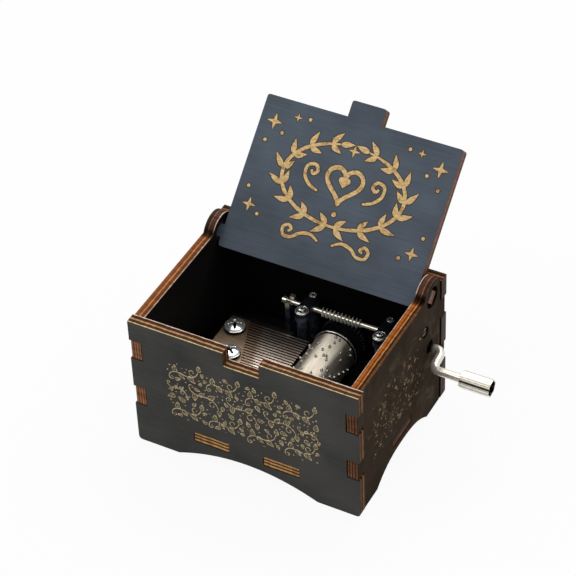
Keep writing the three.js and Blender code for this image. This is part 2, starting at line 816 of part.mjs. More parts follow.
// The worm shaft with its thread as one surface: a thin right-handed ridge winds round the shaft and
// passes straight below the axis over the middle of the gear
function wormShaft(left, right) {
  const stations = smallSides;
  const last = threadTurns;
  const first = cylinderX - threadPitch * Math.round(threadTurns / 2);
  const ridge = [
    [shaftRadius, -threadWidth / 2],
    [threadRadius, -threadTipWidth / 2],
    [threadRadius, threadTipWidth / 2],
    [shaftRadius, threadWidth / 2],
  ];
  const positions = [];
  const index = [];
  const face = (start, ...rest) => {
    for (let i = 1; i < rest.length; i++) index.push(start, rest[i - 1], rest[i]);
  };
  const vertex = (x, radius, station) => {
    const angle = (2 * Math.PI * station) / stations - Math.PI / 2;
    positions.push(x, radius * Math.cos(angle), radius * Math.sin(angle));
    return positions.length / 3 - 1;
  };
  const leftEnd = [];
  const rightEnd = [];
  const corners = [];
  for (let j = 0; j < stations; j++) {
    leftEnd.push(vertex(left, shaftRadius, j));
    rightEnd.push(vertex(right, shaftRadius, j));
    const turns = j === 0 ? last + 1 : last;
    const along = [];
    for (let k = 0; k < turns; k++) {
      const middle = first + threadPitch * (k + j / stations);
      along.push(ridge.map(([radius, across]) => vertex(middle + across, radius, j)));
    }
    corners.push(along);
  }
  const at = (k, j, corner) => (j === stations ? corners[0][k + 1][corner] : corners[j][k][corner]);
  const strip = (k, corner, nextK, nextCorner, j) => {
    face(at(k, j, corner), at(k, j + 1, corner), at(nextK, j + 1, nextCorner), at(nextK, j, nextCorner));
  };
  for (let j = 0; j < stations; j++) {
    for (let k = 0; k < last; k++) {
      strip(k, 0, k, 1, j);
      strip(k, 1, k, 2, j);
      strip(k, 2, k, 3, j);
      if (k < last - 1) strip(k, 3, k + 1, 0, j);
    }
  }
  for (let j = 0; j < stations - 1; j++) {
    face(leftEnd[j], leftEnd[j + 1], at(0, j + 1, 0), at(0, j, 0));
    const next = (j + 2) % stations;
    face(at(last - 1, j + 1, 3), at(last - 1, j + 2, 3), rightEnd[next], rightEnd[j + 1]);
  }
  const end = stations - 1;
  face(leftEnd[end], leftEnd[0], at(0, 0, 0), at(0, 0, 3), at(1, 0, 0), at(0, end, 0));
  const stop = corners[0][last];
  face(at(last - 1, 1, 3), rightEnd[1], rightEnd[0], stop[3], stop[0], at(last - 1, 0, 3));
  face(...corners[0][0]);
  face(...stop.slice().reverse());
  face(...leftEnd.slice().reverse());
  face(...rightEnd);
  const geometry = new THREE.BufferGeometry();
  geometry.setAttribute("position", new THREE.Float32BufferAttribute(positions, 3));
  geometry.setIndex(index);
  return geometry;
}

function crankLine() {
  const arm = new THREE.Vector3(0, -Math.cos(droop), -Math.sin(droop));
  const start = new THREE.Vector3(0, wormY, wormZ);
  const at = (x, out) => start.clone().addScaledVector(axisX, x).addScaledVector(arm, out);
  const corner = (a, b, c) => new THREE.QuadraticBezierCurve3(a, b, c);
  const path = new THREE.CurvePath();
  path.add(new THREE.LineCurve3(at(socketEnd - wireInSocket, 0), at(armX - crankBend, 0)));
  path.add(corner(at(armX - crankBend, 0), at(armX, 0), at(armX, crankBend)));
  path.add(new THREE.LineCurve3(at(armX, crankBend), at(armX, crankThrow - crankBend)));
  path.add(
    corner(at(armX, crankThrow - crankBend), at(armX, crankThrow), at(armX + crankBend, crankThrow)),
  );
  path.add(new THREE.LineCurve3(at(armX + crankBend, crankThrow), at(wireEnd, crankThrow)));
  return path;
}

function crankParts() {
  const shaftLeft = thrustX - thrustThickness / 2 - assemblyGap - collarLength;
  const socketStart = socketEnd - socketLength;
  const shaft = wormShaft(shaftLeft, socketStart + cutOverrun);
  const socket = rod(socketRadius, socketStart, socketEnd, facingRight);
  const socketBore = rod(
    wireRadius + assemblyGap,
    socketEnd - wireInSocket - assemblyGap,
    socketEnd + cutOverrun,
    facingRight,
    smallSides,
  );
  const toShaft = (geometry) => geometry.translate(0, wormY, wormZ);
  const worm = cut(join([toShaft(shaft), toShaft(socket)]), [toShaft(socketBore)]);
  const collar = ring(shaftRadius + assemblyGap / 2, collarRadius, 0, collarLength, smallSides);
  collar.rotateZ(-Math.PI / 2).translate(shaftLeft, wormY, wormZ);
  const wire = new THREE.ExtrudeGeometry(circle(0, 0, wireRadius, smallSides), {
    steps: wireSteps,
    extrudePath: crankLine(),
  });
  const stopX = gripX + gripEndWall + assemblyGap;
  const stop = rod(gripStopRadius, stopX, stopX + gripStopLength, facingRight, smallSides);
  return [
    piece("worm_shaft", worm, nickel),
    piece("thrust_collar", collar, nickel),
    piece("crank_wire", join([wire, stop.translate(0, gripY, gripZ)]), nickel),
  ];
}

// Grip: a hexagonal sleeve, closed round the wire at its inner end and open at the outer one
const gripSides = 6;
const gripCornerSteps = 3;

function hexagon(acrossFlats, corner) {
  const step = (2 * Math.PI) / gripSides;
  const radius = acrossFlats / 2 / Math.cos(step / 2);
  const points = [];
  for (let i = 0; i < gripSides; i++) {
    const angle = (i + 0.5) * step + THREE.MathUtils.degToRad(gripTurnDegrees);
    points.push([radius * Math.cos(angle), radius * Math.sin(angle), corner]);
  }
  return outline(points);
}

function gripPart() {
  const sleeve = (acrossFlats, from) =>
    sheet(hexagon(acrossFlats, gripCorner), gripLength, facingRight, from, gripCornerSteps);
  const outer = sleeve(gripAcrossFlats, gripX);
  const inner = sleeve(gripAcrossFlats - 2 * gripWall, gripX + gripEndWall);
  const bore = rod(
    wireRadius + gripBoreClearance,
    gripX - cutOverrun,
    gripX + gripEndWall + cutOverrun,
    facingRight,
  );
  return piece("crank_grip", cut(outer, [inner, bore]).translate(0, gripY, gripZ), nickel);
}

const musicBox = new THREE.Group();
musicBox.add(...caseParts(), lidPart());
musicBox.add(
  screw("wall_screw", wallScrew, facingRight, sunkFaceX, wallScrewY, wallScrewZ, blackSteel),
);
musicBox.add(bedPlate(), combPart());
const facingDown = turnTo(axisX, axisY.clone().negate(), axisZUp.clone().negate());
bedScrewPlaces.forEach(([x, y], i) => {
  musicBox.add(screw("bed_screw_" + (i + 1), bedScrew, facingDown, x, y, floorZ, nickel));
});
for (const [name, x, y] of combScrewPlaces) {
  musicBox.add(screw(name, combScrew, flat, x, y, combTop, nickel));
}
musicBox.add(...cylinderParts());
musicBox.add(
  arborBracket("arbor_bracket_front", frontBracketY),
  arborBracket("arbor_bracket_rear", rearBracketY),
);
musicBox.add(
  ...wormBearing("left", bedLeft + bearingLeftFromBedLeft),
  ...wormBearing("right", bedLeft + bearingRightFromBedLeft),
);
musicBox.add(...thrustParts(), ...crankParts(), gripPart());

// The origin is under the middle of the whole box, with the lid open and the crank forward
const whole = new THREE.Box3().setFromObject(musicBox);
const middle = whole.getCenter(new THREE.Vector3());
musicBox.position.set(-middle.x, -middle.y, -whole.min.z);

export default musicBox;
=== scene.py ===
import math
import random

import bmesh
import bpy
from mathutils import Matrix, Vector


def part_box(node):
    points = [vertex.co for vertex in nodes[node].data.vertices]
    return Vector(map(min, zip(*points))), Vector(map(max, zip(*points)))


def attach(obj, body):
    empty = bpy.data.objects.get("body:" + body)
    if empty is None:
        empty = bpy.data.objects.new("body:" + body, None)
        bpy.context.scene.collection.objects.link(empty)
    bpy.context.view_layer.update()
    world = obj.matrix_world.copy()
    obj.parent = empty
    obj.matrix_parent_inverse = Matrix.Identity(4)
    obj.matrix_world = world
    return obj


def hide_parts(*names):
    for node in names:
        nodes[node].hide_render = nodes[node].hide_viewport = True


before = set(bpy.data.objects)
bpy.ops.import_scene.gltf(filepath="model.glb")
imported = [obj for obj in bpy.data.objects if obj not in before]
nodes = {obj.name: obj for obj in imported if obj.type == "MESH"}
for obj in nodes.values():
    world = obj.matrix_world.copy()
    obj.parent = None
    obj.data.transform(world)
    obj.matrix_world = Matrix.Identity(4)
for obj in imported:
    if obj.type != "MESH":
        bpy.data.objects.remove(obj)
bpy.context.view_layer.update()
scene = bpy.context.scene

# Places are written in millimetres from the middle of the case's footprint, as in the part's source.
MM = 0.001
PLY = 3.0
front_low, front_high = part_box("front_panel")
back_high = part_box("back_panel")[1]
MIDDLE = Vector(((front_low.x + front_high.x) / 2, (front_low.y + back_high.y) / 2, front_low.z))


def at(x, y, z):
    return MIDDLE + Vector((x, y, z)) * MM


def srgb(red, green, blue):
    """A colour read as 0 to 255, as the linear values that a shader takes."""
    linear = []
    for value in (red, green, blue):
        share = value / 255
        linear.append(share / 12.92 if share <= 0.04045 else ((share + 0.055) / 1.055) ** 2.4)
    return (*linear, 1.0)


def in_scene(name, data):
    thing = bpy.data.objects.new(name, data)
    scene.collection.objects.link(thing)
    return thing


def shape(name, vertices, faces, material):
    mesh = bpy.data.meshes.new(name)
    mesh.from_pydata(vertices, [], faces)
    mesh.materials.append(material)
    return in_scene(name, mesh)


def aimed(place, aim):
    """A pose at place that looks at aim."""
    turn = (Vector(aim) - Vector(place)).to_track_quat("-Z", "Y").to_matrix().to_4x4()
    return Matrix.Translation(place) @ turn


# Camera
CAMERA_PLACE = at(218.898, -386.067, 436.521)
CAMERA_AIM = at(0.100, 0, 44.268)
CAMERA_ROLL = math.radians(-2.586)
camera_data = bpy.data.cameras.new("photo_camera")
camera_data.lens = 148.79
camera_data.sensor_width = 36
camera_data.clip_start = 0.01
camera = in_scene("photo_camera", camera_data)
camera.matrix_world = aimed(CAMERA_PLACE, CAMERA_AIM) @ Matrix.Rotation(CAMERA_ROLL, 4, "Z")
scene.camera = camera
scene.view_settings.view_transform = "Standard"


class Nodes:
    """A node tree that is built with short calls."""

    def __init__(self, tree):
        self.tree = tree
        tree.nodes.clear()

    def add(self, kind, inputs=None, **settings):
        node = self.tree.nodes.new(kind)
        for key, value in settings.items():
            setattr(node, key, value)
        for key, value in (inputs or {}).items():
            if isinstance(value, bpy.types.NodeSocket):
                self.tree.links.new(value, node.inputs[key])
            else:
                node.inputs[key].default_value = value
        return node

    def math(self, operation, *values):
        inputs = dict(enumerate(values))
        return self.add("ShaderNodeMath", inputs, operation=operation).outputs[0]

    def shown_directly(self, hidden, shown):
        """Shows one shader to the camera, to reflections and through glass, and lights with the other."""
        path = self.add("ShaderNodeLightPath").outputs
        direct = self.math("MAXIMUM", path["Is Camera Ray"], path["Is Glossy Ray"])
        direct = self.math("MAXIMUM", direct, path["Is Transmission Ray"])
        inputs = {0: direct, 1: hidden.outputs[0], 2: shown.outputs[0]}
        return self.add("ShaderNodeMixShader", inputs)


class Shader(Nodes):
    """A material that is built with short calls."""

    def __init__(self, name):
        self.material = bpy.data.materials.new(name)
        self.material.use_nodes = True
        super().__init__(self.material.node_tree)

    def surface(self, shader):
        self.add("ShaderNodeOutputMaterial", {0: shader.outputs[0]})
        return self.material

    def finish(self, **inputs):
        named = {key.replace("_", " "): value for key, value in inputs.items()}
        return self.surface(self.add("ShaderNodeBsdfPrincipled", named))

    def vector(self, operation, *values):
        inputs = dict(enumerate(values))
        node = self.add("ShaderNodeVectorMath", inputs, operation=operation)
        number = operation in ("DOT_PRODUCT", "LENGTH")
        return node.outputs["Value" if number else "Vector"]

    def spread(self, value, low, high, to_low=0.0, to_high=1.0, smooth=False):
        inputs = dict(enumerate((value, low, high, to_low, to_high)))
        kind = "SMOOTHSTEP" if smooth else "LINEAR"
        return self.add("ShaderNodeMapRange", inputs, interpolation_type=kind).outputs[0]

    def mix(self, share, first, second, blend="MIX"):
        inputs = {0: share, 6: first, 7: second}
        return self.add("ShaderNodeMix", inputs, data_type="RGBA", blend_type=blend).outputs[2]

    def joined(self, *values):
        """Three numbers as a vector."""
        return self.add("ShaderNodeCombineXYZ", dict(enumerate(values))).outputs[0]

    def ramp(self, value, stops):
        node = self.add("ShaderNodeValToRGB", {0: value})
        elements = node.color_ramp.elements
        while len(elements) < len(stops):
            elements.new(1.0)
        for element, (place, colour) in zip(elements, stops):
            element.position = place
            element.color = colour
        return node.outputs[0]

    def noise(self, place, scale, detail=3.0, roughness=0.55, distortion=0.0):
        inputs = {"Vector": place, "Scale": scale, "Detail": detail, "Roughness": roughness}
        inputs["Distortion"] = distortion
        return self.add("ShaderNodeTexNoise", inputs).outputs[0]

    def streaked(self, place, scale, fine_scale):
        """Noise in soft streaks, a finer grain, and the share of brightness that both give."""
        streaks = self.noise(place, scale, 4.0, 0.6, 0.3)
        fine = self.noise(place, fine_scale, 3.0, 0.6)
        share = self.math("ADD", streaks, self.math("MULTIPLY", fine, 0.35))
        return streaks, fine, self.spread(share, 0.45, 0.85)

    def gloss(self, grain, least, most):
        """A roughness that follows the grain."""
        return self.spread(grain, 0.3, 0.7, least, most)

    def millimetres(self):
        """Where a point lies on its own object, in millimetres of the shared frame."""
        self.coordinates = self.add("ShaderNodeTexCoord").outputs
        inputs = {0: self.coordinates["Object"], "Scale": 1 / MM}
        return self.add("ShaderNodeVectorMath", inputs, operation="SCALE").outputs[0]

    def bump(self, height, strength, distance):
        inputs = {"Height": height, "Strength": strength, "Distance": distance * MM}
        return self.add("ShaderNodeBump", inputs).outputs[0]


# Wood
EDGE_SHARPNESS = math.radians(38)
RIM_LEVEL = 35.3  # above it, the cut edges that face up have the plies of the top edge
EAR_LEVEL = 41.15
UPWARD = ((0, 0, 1), RIM_LEVEL)
# near black: laser char, and painted shade in the kerf gaps
CHAR_AND_KERF_SHADE = srgb(14, 10, 8)


def plywood(
    node, outward, grain, outer, inner, tops, ends,
    main=UPWARD, sheen_patches=None, ears=None, holes=(), sheen=0.03,
):
    """Stains a node. Depth runs from 0 at its outer face to 1 at the inner one.
    outer and inner are pairs of stain colours; on the box's panels the inner pair is darkened as painted
    shade.
    tops are the plies on cut edges that face the way main, which holds a direction and the height that they
    start from, and ends the plies on the other cut edges. The paler colour laid in patches is a painted
    sheen, ears are the plies on the ears' arcs, and holes are places, in the panel's plane, that the laser
    scorched and where shade is painted inside the holes and in the corner at the ears' feet: y, z, radius
    and blur."""
    shader = Shader(node + "_wood")
    place = shader.millimetres()
    normal = shader.coordinates["Normal"]
    way_in = -Vector(outward)
    outer_face = min(vertex.co.dot(way_in) for vertex in nodes[node].data.vertices) / MM
    outward = Vector(outward).normalized()
    depth = shader.vector("DOT_PRODUCT", place, -outward)
    depth = shader.math("SUBTRACT", depth, outer_face)
    depth = shader.math("DIVIDE", depth, PLY)
    facing = shader.vector("DOT_PRODUCT", normal, outward)
    across = shader.math("ABSOLUTE", facing)
    on_edge = shader.spread(across, 0.55, 0.86, 1.0, 0.0, smooth=True)
    # faces turned inward take the inner pair, which on the box's panels is painted shade
    inside = shader.spread(facing, -0.1, 0.1, 1.0, 0.0)
    upright = shader.vector("DOT_PRODUCT", normal, main[0])
    upright = shader.spread(upright, 0.30, 0.62, smooth=True)
    height = shader.vector("DOT_PRODUCT", place, (0, 0, 1))
    high = shader.spread(height, main[1], main[1] + 0.6, smooth=True)
    on_top = shader.math("MULTIPLY", upright, high)

    # The grain runs along one direction, so its noise is drawn out along that direction.
    grain = Vector(grain).normalized()
    along = shader.vector("DOT_PRODUCT", place, grain)
    aside = shader.vector("DOT_PRODUCT", place, outward.cross(grain))
    drawn_along = shader.math("MULTIPLY", along, 0.06)
    stretched = shader.joined(drawn_along, shader.math("MULTIPLY", aside, 1.5), depth)
    fibres = shader.noise(stretched, 1.6, 5.0, 0.62, 0.25)
    pores = shader.noise(stretched, 5.5, 3.0, 0.7)
    clouds = shader.noise(place, 0.07, 2.0, 0.5)
    stain = shader.math("ADD", shader.math("MULTIPLY", fibres, 0.6), clouds)
    stain = shader.math("ADD", stain, shader.math("MULTIPLY", pores, 0.25))
    stain = shader.spread(stain, 0.62, 1.22)
    outer_stain = shader.mix(stain, *outer)
    # painted sheen: paler patches laid over the outer stain
    if sheen_patches:
        patches = shader.noise(place, 0.16, 4.0, 0.65, 0.6)
        patches = shader.spread(patches, 0.52, 0.72, 0.0, 0.75, smooth=True)
        outer_stain = shader.mix(patches, outer_stain, sheen_patches)
    face = shader.mix(inside, outer_stain, shader.mix(stain, *inner))

    # Laser cut edge: plies, with fine burnt marks across the thickness.
    marks = shader.joined(along, aside, shader.math("MULTIPLY", depth, 0.5))
    burnt = shader.noise(marks, 1.1, 4.0, 0.6)
    streaks = shader.noise(marks, 5.0, 2.0, 0.6)
    wander = shader.math("SUBTRACT", shader.noise(marks, 0.5, 2.0), 0.5)
    ply = shader.math("ADD", depth, shader.math("MULTIPLY", wander, 0.12))
    layers = shader.mix(on_top, shader.ramp(ply, ends), shader.ramp(ply, tops))
    bare = on_top
    if ears:
        raised = shader.spread(height, EAR_LEVEL, EAR_LEVEL + 0.5, smooth=True)
        layers = shader.mix(raised, layers, shader.ramp(ply, ears))
        bare = shader.math("MAXIMUM", on_top, raised)
    shade = shader.math("ADD", burnt, shader.math("MULTIPLY", streaks, 0.4))
    shade = shader.spread(shade, 0.50, 0.90, 0.56, 1.24)
    # laser scorch round the holes, with painted shade inside them and in the corner at the ears' feet
    for y, z, radius, blur in holes:
        away = shader.vector("SUBTRACT", place, tuple(at(0, y, z) / MM))
        away = shader.vector("LENGTH", shader.vector("MULTIPLY", away, (0, 1, 1)))
        scorch = shader.spread(away, radius, radius + blur, 0.12, 1.0, smooth=True)
        shade = shader.math("MULTIPLY", shade, scorch)
    grey = shader.add("ShaderNodeCombineColor", {0: shade, 1: shade, 2: shade})
    cut = shader.mix(1.0, layers, grey.outputs[0], "MULTIPLY")
    colour = shader.mix(on_edge, face, cut)

    # The laser chars the rims that aren't at the top, and the same near-black is painted shade in the kerf
    # gaps between fingers and slots.
    rim = shader.math(
        "MULTIPLY",
        shader.spread(across, 0.03, 0.25, smooth=True),
        shader.spread(across, 0.86, 0.995, 1.0, 0.0, smooth=True),
    )
    rim = shader.math("MULTIPLY", rim, shader.math("SUBTRACT", 1.0, bare))
    relief = shader.math("ADD", fibres, shader.math("MULTIPLY", pores, 0.6))
    relief = shader.math("ADD", relief, shader.math("MULTIPLY", burnt, on_edge))
    nodes[node].material_slots[0].material = shader.finish(
        Base_Color=shader.mix(shader.math("MULTIPLY", rim, 0.9), colour, CHAR_AND_KERF_SHADE),
        Roughness=shader.gloss(pores, 0.44, 0.62),
        Normal=shader.bump(relief, 0.55, 0.05),
        Specular_IOR_Level=sheen,
    )


def plies(*rows):
    """Colours through the plywood's thickness. A row holds a share of the depth and a colour."""
    return tuple((share, srgb(*colour)) for share, *colour in rows)


CHARCOAL = (srgb(60, 60, 58), srgb(82, 81, 78))
# the right panel's stain: warmer, and darker as painted shade on the side turned away from the key light
CHARCOAL_WARM_SHADED = (srgb(50, 42, 35), srgb(71, 61, 51))
# the inside of the box: its stain darkened as painted shade
INSIDE_SHADE = (srgb(16, 15, 15), srgb(27, 25, 24))
SLATE = (srgb(68, 75, 84), srgb(91, 101, 113))
# the near-white last stops of FRONT_TOPS, SIDE_TOPS, LEFT_TOPS and EAR_TOPS, at the inner rim, are painted
# highlights along the top edges
FRONT_TOPS = plies(
    (0.00, 226, 200, 158), (0.07, 222, 194, 150), (0.13, 58, 34, 12), (0.24, 92, 60, 26),
    (0.38, 60, 34, 12), (0.44, 196, 156, 124), (0.54, 180, 138, 106), (0.60, 104, 68, 36),
    (0.68, 56, 28, 8), (0.80, 86, 48, 20), (0.89, 50, 26, 8), (0.94, 238, 216, 196),
    (1.00, 232, 208, 188),
)
FRONT_ENDS = plies(
    (0.00, 50, 36, 25), (0.14, 84, 57, 36), (0.24, 118, 80, 48), (0.34, 66, 43, 27),
    (0.60, 74, 49, 30), (0.70, 172, 120, 74), (0.78, 82, 52, 32), (1.00, 44, 30, 20),
)
BACK_TOPS = plies(
    (0.00, 106, 90, 68), (0.14, 84, 60, 40), (0.26, 60, 36, 20), (0.46, 56, 32, 18),
    (0.54, 184, 132, 94), (0.62, 120, 72, 44), (0.74, 58, 32, 18), (0.88, 70, 40, 22),
    (0.94, 150, 108, 76), (1.00, 110, 74, 50),
)
BACK_ENDS = plies(
    (0.00, 78, 64, 60), (0.20, 104, 86, 80), (0.34, 62, 46, 44), (0.50, 96, 78, 72),
    (0.64, 60, 44, 42), (0.80, 92, 72, 66), (1.00, 50, 36, 34),
)
SIDE_TOPS = plies(
    (0.00, 150, 112, 78), (0.06, 66, 42, 26), (0.14, 132, 90, 58), (0.21, 64, 38, 22),
    (0.38, 76, 42, 20), (0.45, 214, 156, 100), (0.52, 144, 76, 30), (0.60, 110, 54, 18),
    (0.72, 178, 100, 42), (0.86, 164, 90, 36), (0.91, 122, 64, 26), (0.95, 222, 186, 158),
    (1.00, 212, 174, 148),
)
LEFT_TOPS = plies(
    (0.00, 96, 54, 30), (0.10, 150, 90, 52), (0.30, 120, 68, 36), (0.44, 150, 90, 50),
    (0.50, 208, 146, 96), (0.58, 134, 76, 40), (0.72, 98, 54, 28), (0.88, 124, 72, 40),
    (0.94, 202, 172, 150), (1.00, 190, 158, 138),
)
EAR_TOPS = plies(
    (0.00, 116, 96, 74), (0.08, 70, 52, 40), (0.34, 58, 40, 32), (0.44, 140, 106, 86),
    (0.52, 84, 54, 42), (0.70, 96, 62, 48), (0.88, 66, 40, 30), (0.94, 226, 202, 182),
    (1.00, 214, 188, 168),
)
SIDE_ENDS = plies(
    (0.00, 40, 25, 17), (0.08, 122, 85, 61), (0.20, 100, 65, 46), (0.28, 40, 25, 18),
    (0.36, 128, 87, 64), (0.46, 108, 69, 49), (0.53, 38, 22, 15), (0.61, 134, 94, 69),
    (0.71, 104, 69, 51), (0.78, 42, 27, 19), (0.86, 128, 90, 64), (0.94, 84, 54, 38),
    (1.00, 34, 20, 14),
)
# the left panel's end plies: the right panel's, brightened as painted light on the side that faces the key
# light
LEFT_ENDS_LIT = tuple(
    (share, (red * 1.9, green * 1.75, blue * 1.6, alpha))
    for share, (red, green, blue, alpha) in SIDE_ENDS
)
LID_ENDS = plies(
    (0.00, 58, 34, 24), (0.12, 112, 70, 50), (0.30, 84, 50, 36), (0.46, 60, 34, 24),
    (0.56, 176, 118, 76), (0.66, 128, 80, 50), (0.82, 92, 56, 38), (0.94, 120, 84, 66),
    (1.00, 96, 68, 56),
)
FLOOR_FRONTS = plies(
    (0.00, 106, 73, 44), (0.10, 227, 174, 114), (0.22, 216, 161, 101), (0.30, 64, 40, 22),
    (0.40, 70, 44, 24), (0.48, 224, 172, 112), (0.58, 213, 158, 99), (0.66, 62, 37, 20),
    (0.76, 73, 46, 26), (0.84, 224, 174, 117), (0.94, 209, 156, 99), (1.00, 88, 57, 33),
)
FLOOR_SIDES = plies(
    (0.00, 26, 16, 10), (0.16, 74, 46, 29), (0.30, 138, 86, 52), (0.38, 46, 27, 16),
    (0.52, 90, 55, 34), (0.64, 38, 22, 14), (0.76, 60, 36, 22), (0.86, 14, 9, 6), (1.00, 10, 7, 5),
)

# The lid's own directions are those of its face as it stands open.
LEAN = math.radians(43.5)
lid_out = Vector((0, math.sin(LEAN), -math.cos(LEAN)))
lid_up = Vector((0, math.cos(LEAN), math.sin(LEAN)))
PIVOT_Y = 17.4
PIVOT_Z = 39.3
PEG_HOLE = (PIVOT_Y, PIVOT_Z, 3.1, 0.1)
EAR_FOOT = (12.6, 41.5, 0.5, 1.6)
CRANK_HOLE = (16.0, 23.6, 2.7, 0.1)
SCREW_HOLE = (13.5, 30.6, 1.7, 0.1)
RIGHT = (1, 0, 0)
BACK = (0, 1, 0)
WOODEN = ("front_panel", "back_panel", "left_panel", "right_panel", "bottom_panel", "lid")
plywood("front_panel", (0, -1, 0), RIGHT, CHARCOAL, INSIDE_SHADE, FRONT_TOPS, FRONT_ENDS)
plywood("back_panel", BACK, RIGHT, CHARCOAL, INSIDE_SHADE, BACK_TOPS, BACK_ENDS)
plywood(
    "left_panel", (-1, 0, 0), BACK, CHARCOAL, INSIDE_SHADE, LEFT_TOPS, LEFT_ENDS_LIT,
    ears=EAR_TOPS, holes=(PEG_HOLE, EAR_FOOT),
)
plywood(
    "right_panel", RIGHT, BACK, CHARCOAL_WARM_SHADED, INSIDE_SHADE, SIDE_TOPS, SIDE_ENDS,
    sheen_patches=srgb(86, 79, 66), ears=EAR_TOPS,
    holes=(PEG_HOLE, EAR_FOOT, CRANK_HOLE, SCREW_HOLE), sheen=0.0,
)
plywood(
    "bottom_panel", (0, 0, -1), RIGHT, CHARCOAL, INSIDE_SHADE, FLOOR_FRONTS, FLOOR_SIDES,
    main=((0, -1, 0), -9),
)
plywood("lid", lid_out, RIGHT, CHARCOAL, SLATE, LID_ENDS, LID_ENDS, sheen=0.12)


def metal(name, bright, dull, roughness, waves=0.02, bare=1.0):
    """Bare or plated metal in clouded streaks. bare is its metallic share: less of it gives rubbed plating a
    soft glow of its own."""
    shader = Shader(name)
    streaks, fine, share = shader.streaked(shader.millimetres(), 0.9, 6.3)
    return shader.finish(
        Base_Color=shader.mix(share, dull, bright),
        Metallic=bare,
        Roughness=shader.gloss(fine, *roughness),
        Normal=shader.bump(streaks, 0.5, waves),
    )


PLATING_CLOUDS = (0.38, 0.66)
SHADED_METALLIC = 0.1  # the metallic share that is left where shade is painted


def cut_nickel(name, bright, dull, shaded_colour, bare, roughness):
    """Plated metal whose recesses and sides, marked by the mesh's shade, are painted near black as shade."""
    shader = Shader(name)
    place = shader.millimetres()
    streaks = shader.noise(place, 0.9, 3.0, 0.6, 0.3)
    fine = shader.noise(place, 6.0, 3.0, 0.6)
    colour = shader.mix(shader.spread(streaks, *PLATING_CLOUDS), dull, bright)
    shade = shader.add("ShaderNodeAttribute", attribute_name="shade").outputs["Fac"]
    return shader.finish(
        Base_Color=shader.mix(shade, colour, shaded_colour),
        Metallic=shader.spread(shade, 0.0, 1.0, bare, SHADED_METALLIC),
        Roughness=shader.gloss(fine, *roughness),
        Specular_IOR_Level=0.15,
    )


def wire_finish():
    """Bright nickel, painted near black as shade where the wire runs back into the wall's hole to its
    socket.
    """
    shader = Shader("wire_nickel")
    place = shader.millimetres()
    drawn = shader.vector("MULTIPLY", place, (0.15, 1, 1))
    streaks = shader.noise(drawn, 1.4, 4.0, 0.6, 0.3)
    fine = shader.noise(drawn, 9.0, 3.0, 0.6)
    colour = shader.mix(shader.spread(streaks, *PLATING_CLOUDS), NICKEL_DULL, NICKEL_BRIGHT)
    along = shader.vector("DOT_PRODUCT", place, (1, 0, 0))
    wall = max(vertex.co.x for vertex in nodes["right_panel"].data.vertices) / MM
    # painted shade: the wire darkens towards the wall, where it runs into the hole
    hole_shade = shader.spread(along, wall + 0.6, wall + 2.6, 1.0, 0.0, smooth=True)
    return shader.finish(
        Base_Color=shader.mix(hole_shade, colour, srgb(15, 12, 10)),
        Metallic=shader.spread(hole_shade, 0.0, 1.0, 0.62, SHADED_METALLIC),
        Roughness=shader.gloss(fine, 0.14, 0.24),
        Specular_IOR_Level=0.2,
    )


def turned_finish():
    """Plated brass turned on a lathe: its fine rings draw a highlight out along the axis."""
    shader = Shader("cylinder_plate")
    drawn = shader.vector("MULTIPLY", shader.millimetres(), (1, 0.2, 1))
    fine, share = shader.streaked(drawn, 0.8, 5.6)[1:]
    around = shader.add("ShaderNodeTangent", direction_type="RADIAL", axis="Y")
    return shader.finish(
        Base_Color=shader.mix(share, srgb(200, 191, 173), srgb(228, 219, 201)),
        Metallic=0.84,
        Roughness=shader.gloss(fine, 0.5, 0.56),
        Anisotropic=0.95,
        Anisotropic_Rotation=0.25,
        Tangent=around.outputs[0],
    )


def gear_finish():
    """Black steel, with a painted highlight at the tips of its teeth."""
    shader = Shader("gear_steel")
    place = shader.millimetres()
    middle = tuple(at(CYLINDER_X, 0, CYLINDER_Z) / MM)
    away = shader.vector("MULTIPLY", shader.vector("SUBTRACT", place, middle), (1, 0, 1))
    radius = shader.vector("LENGTH", away)
    fine = shader.noise(place, 5.0, 3.0, 0.6)
    # painted highlight: the teeth's tips are coloured bright
    painted_highlight = shader.spread(radius, GEAR_RADIUS - 0.2, GEAR_RADIUS - 0.03, smooth=True)
    colour = shader.mix(fine, srgb(30, 30, 32), srgb(58, 58, 62))
    colour = shader.mix(painted_highlight, colour, srgb(128, 128, 130))
    return shader.finish(Base_Color=colour, Metallic=0.7, Roughness=shader.gloss(fine, 0.2, 0.34))


def comb_finish():
    """Ground bright on top and browned by oil on the heel, with painted shade on the sides in the sawn slots
    and towards the rear.
    """
    shader = Shader("comb_ground")
    place = shader.millimetres()
    drawn = shader.vector("MULTIPLY", place, (0.10, 1, 1))
    streaks, fine, share = shader.streaked(drawn, 2.2, 12.0)
    ground = shader.mix(share, srgb(182, 163, 147), srgb(230, 212, 196))
    oiled = shader.mix(share, srgb(122, 99, 78), srgb(166, 140, 113))
    across = shader.vector("DOT_PRODUCT", place, (1, 0.3, 0))
    heel = shader.spread(across, COMB_HEEL, COMB_HEEL + 2.2, 1.0, 0.0, smooth=True)
    top = shader.mix(heel, ground, oiled)
    rearward = shader.vector("DOT_PRODUCT", place, (0, 1, 0))
    comb_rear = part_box("comb")[1].y / MM
    # painted shade: the comb darkens towards the rear
    rear_shade = shader.spread(rearward, comb_rear - 12, comb_rear - 1, 0.0, 0.68, smooth=True)
    top = shader.mix(rear_shade, top, srgb(34, 29, 25))
    # painted shade: faces that don't face up, such as the sides in the sawn slots, are near black
    level = shader.vector("DOT_PRODUCT", shader.coordinates["Normal"], (0, 0, 1))
    level = shader.spread(level, 0.45, 0.85, smooth=True)
    return shader.finish(
        Base_Color=shader.mix(level, srgb(20, 17, 15), top),
        Metallic=shader.spread(heel, 0.0, 1.0, 0.66, 0.4),
        Roughness=shader.gloss(fine, 0.24, 0.36),
        Normal=shader.bump(streaks, 0.5, 0.01),
    )


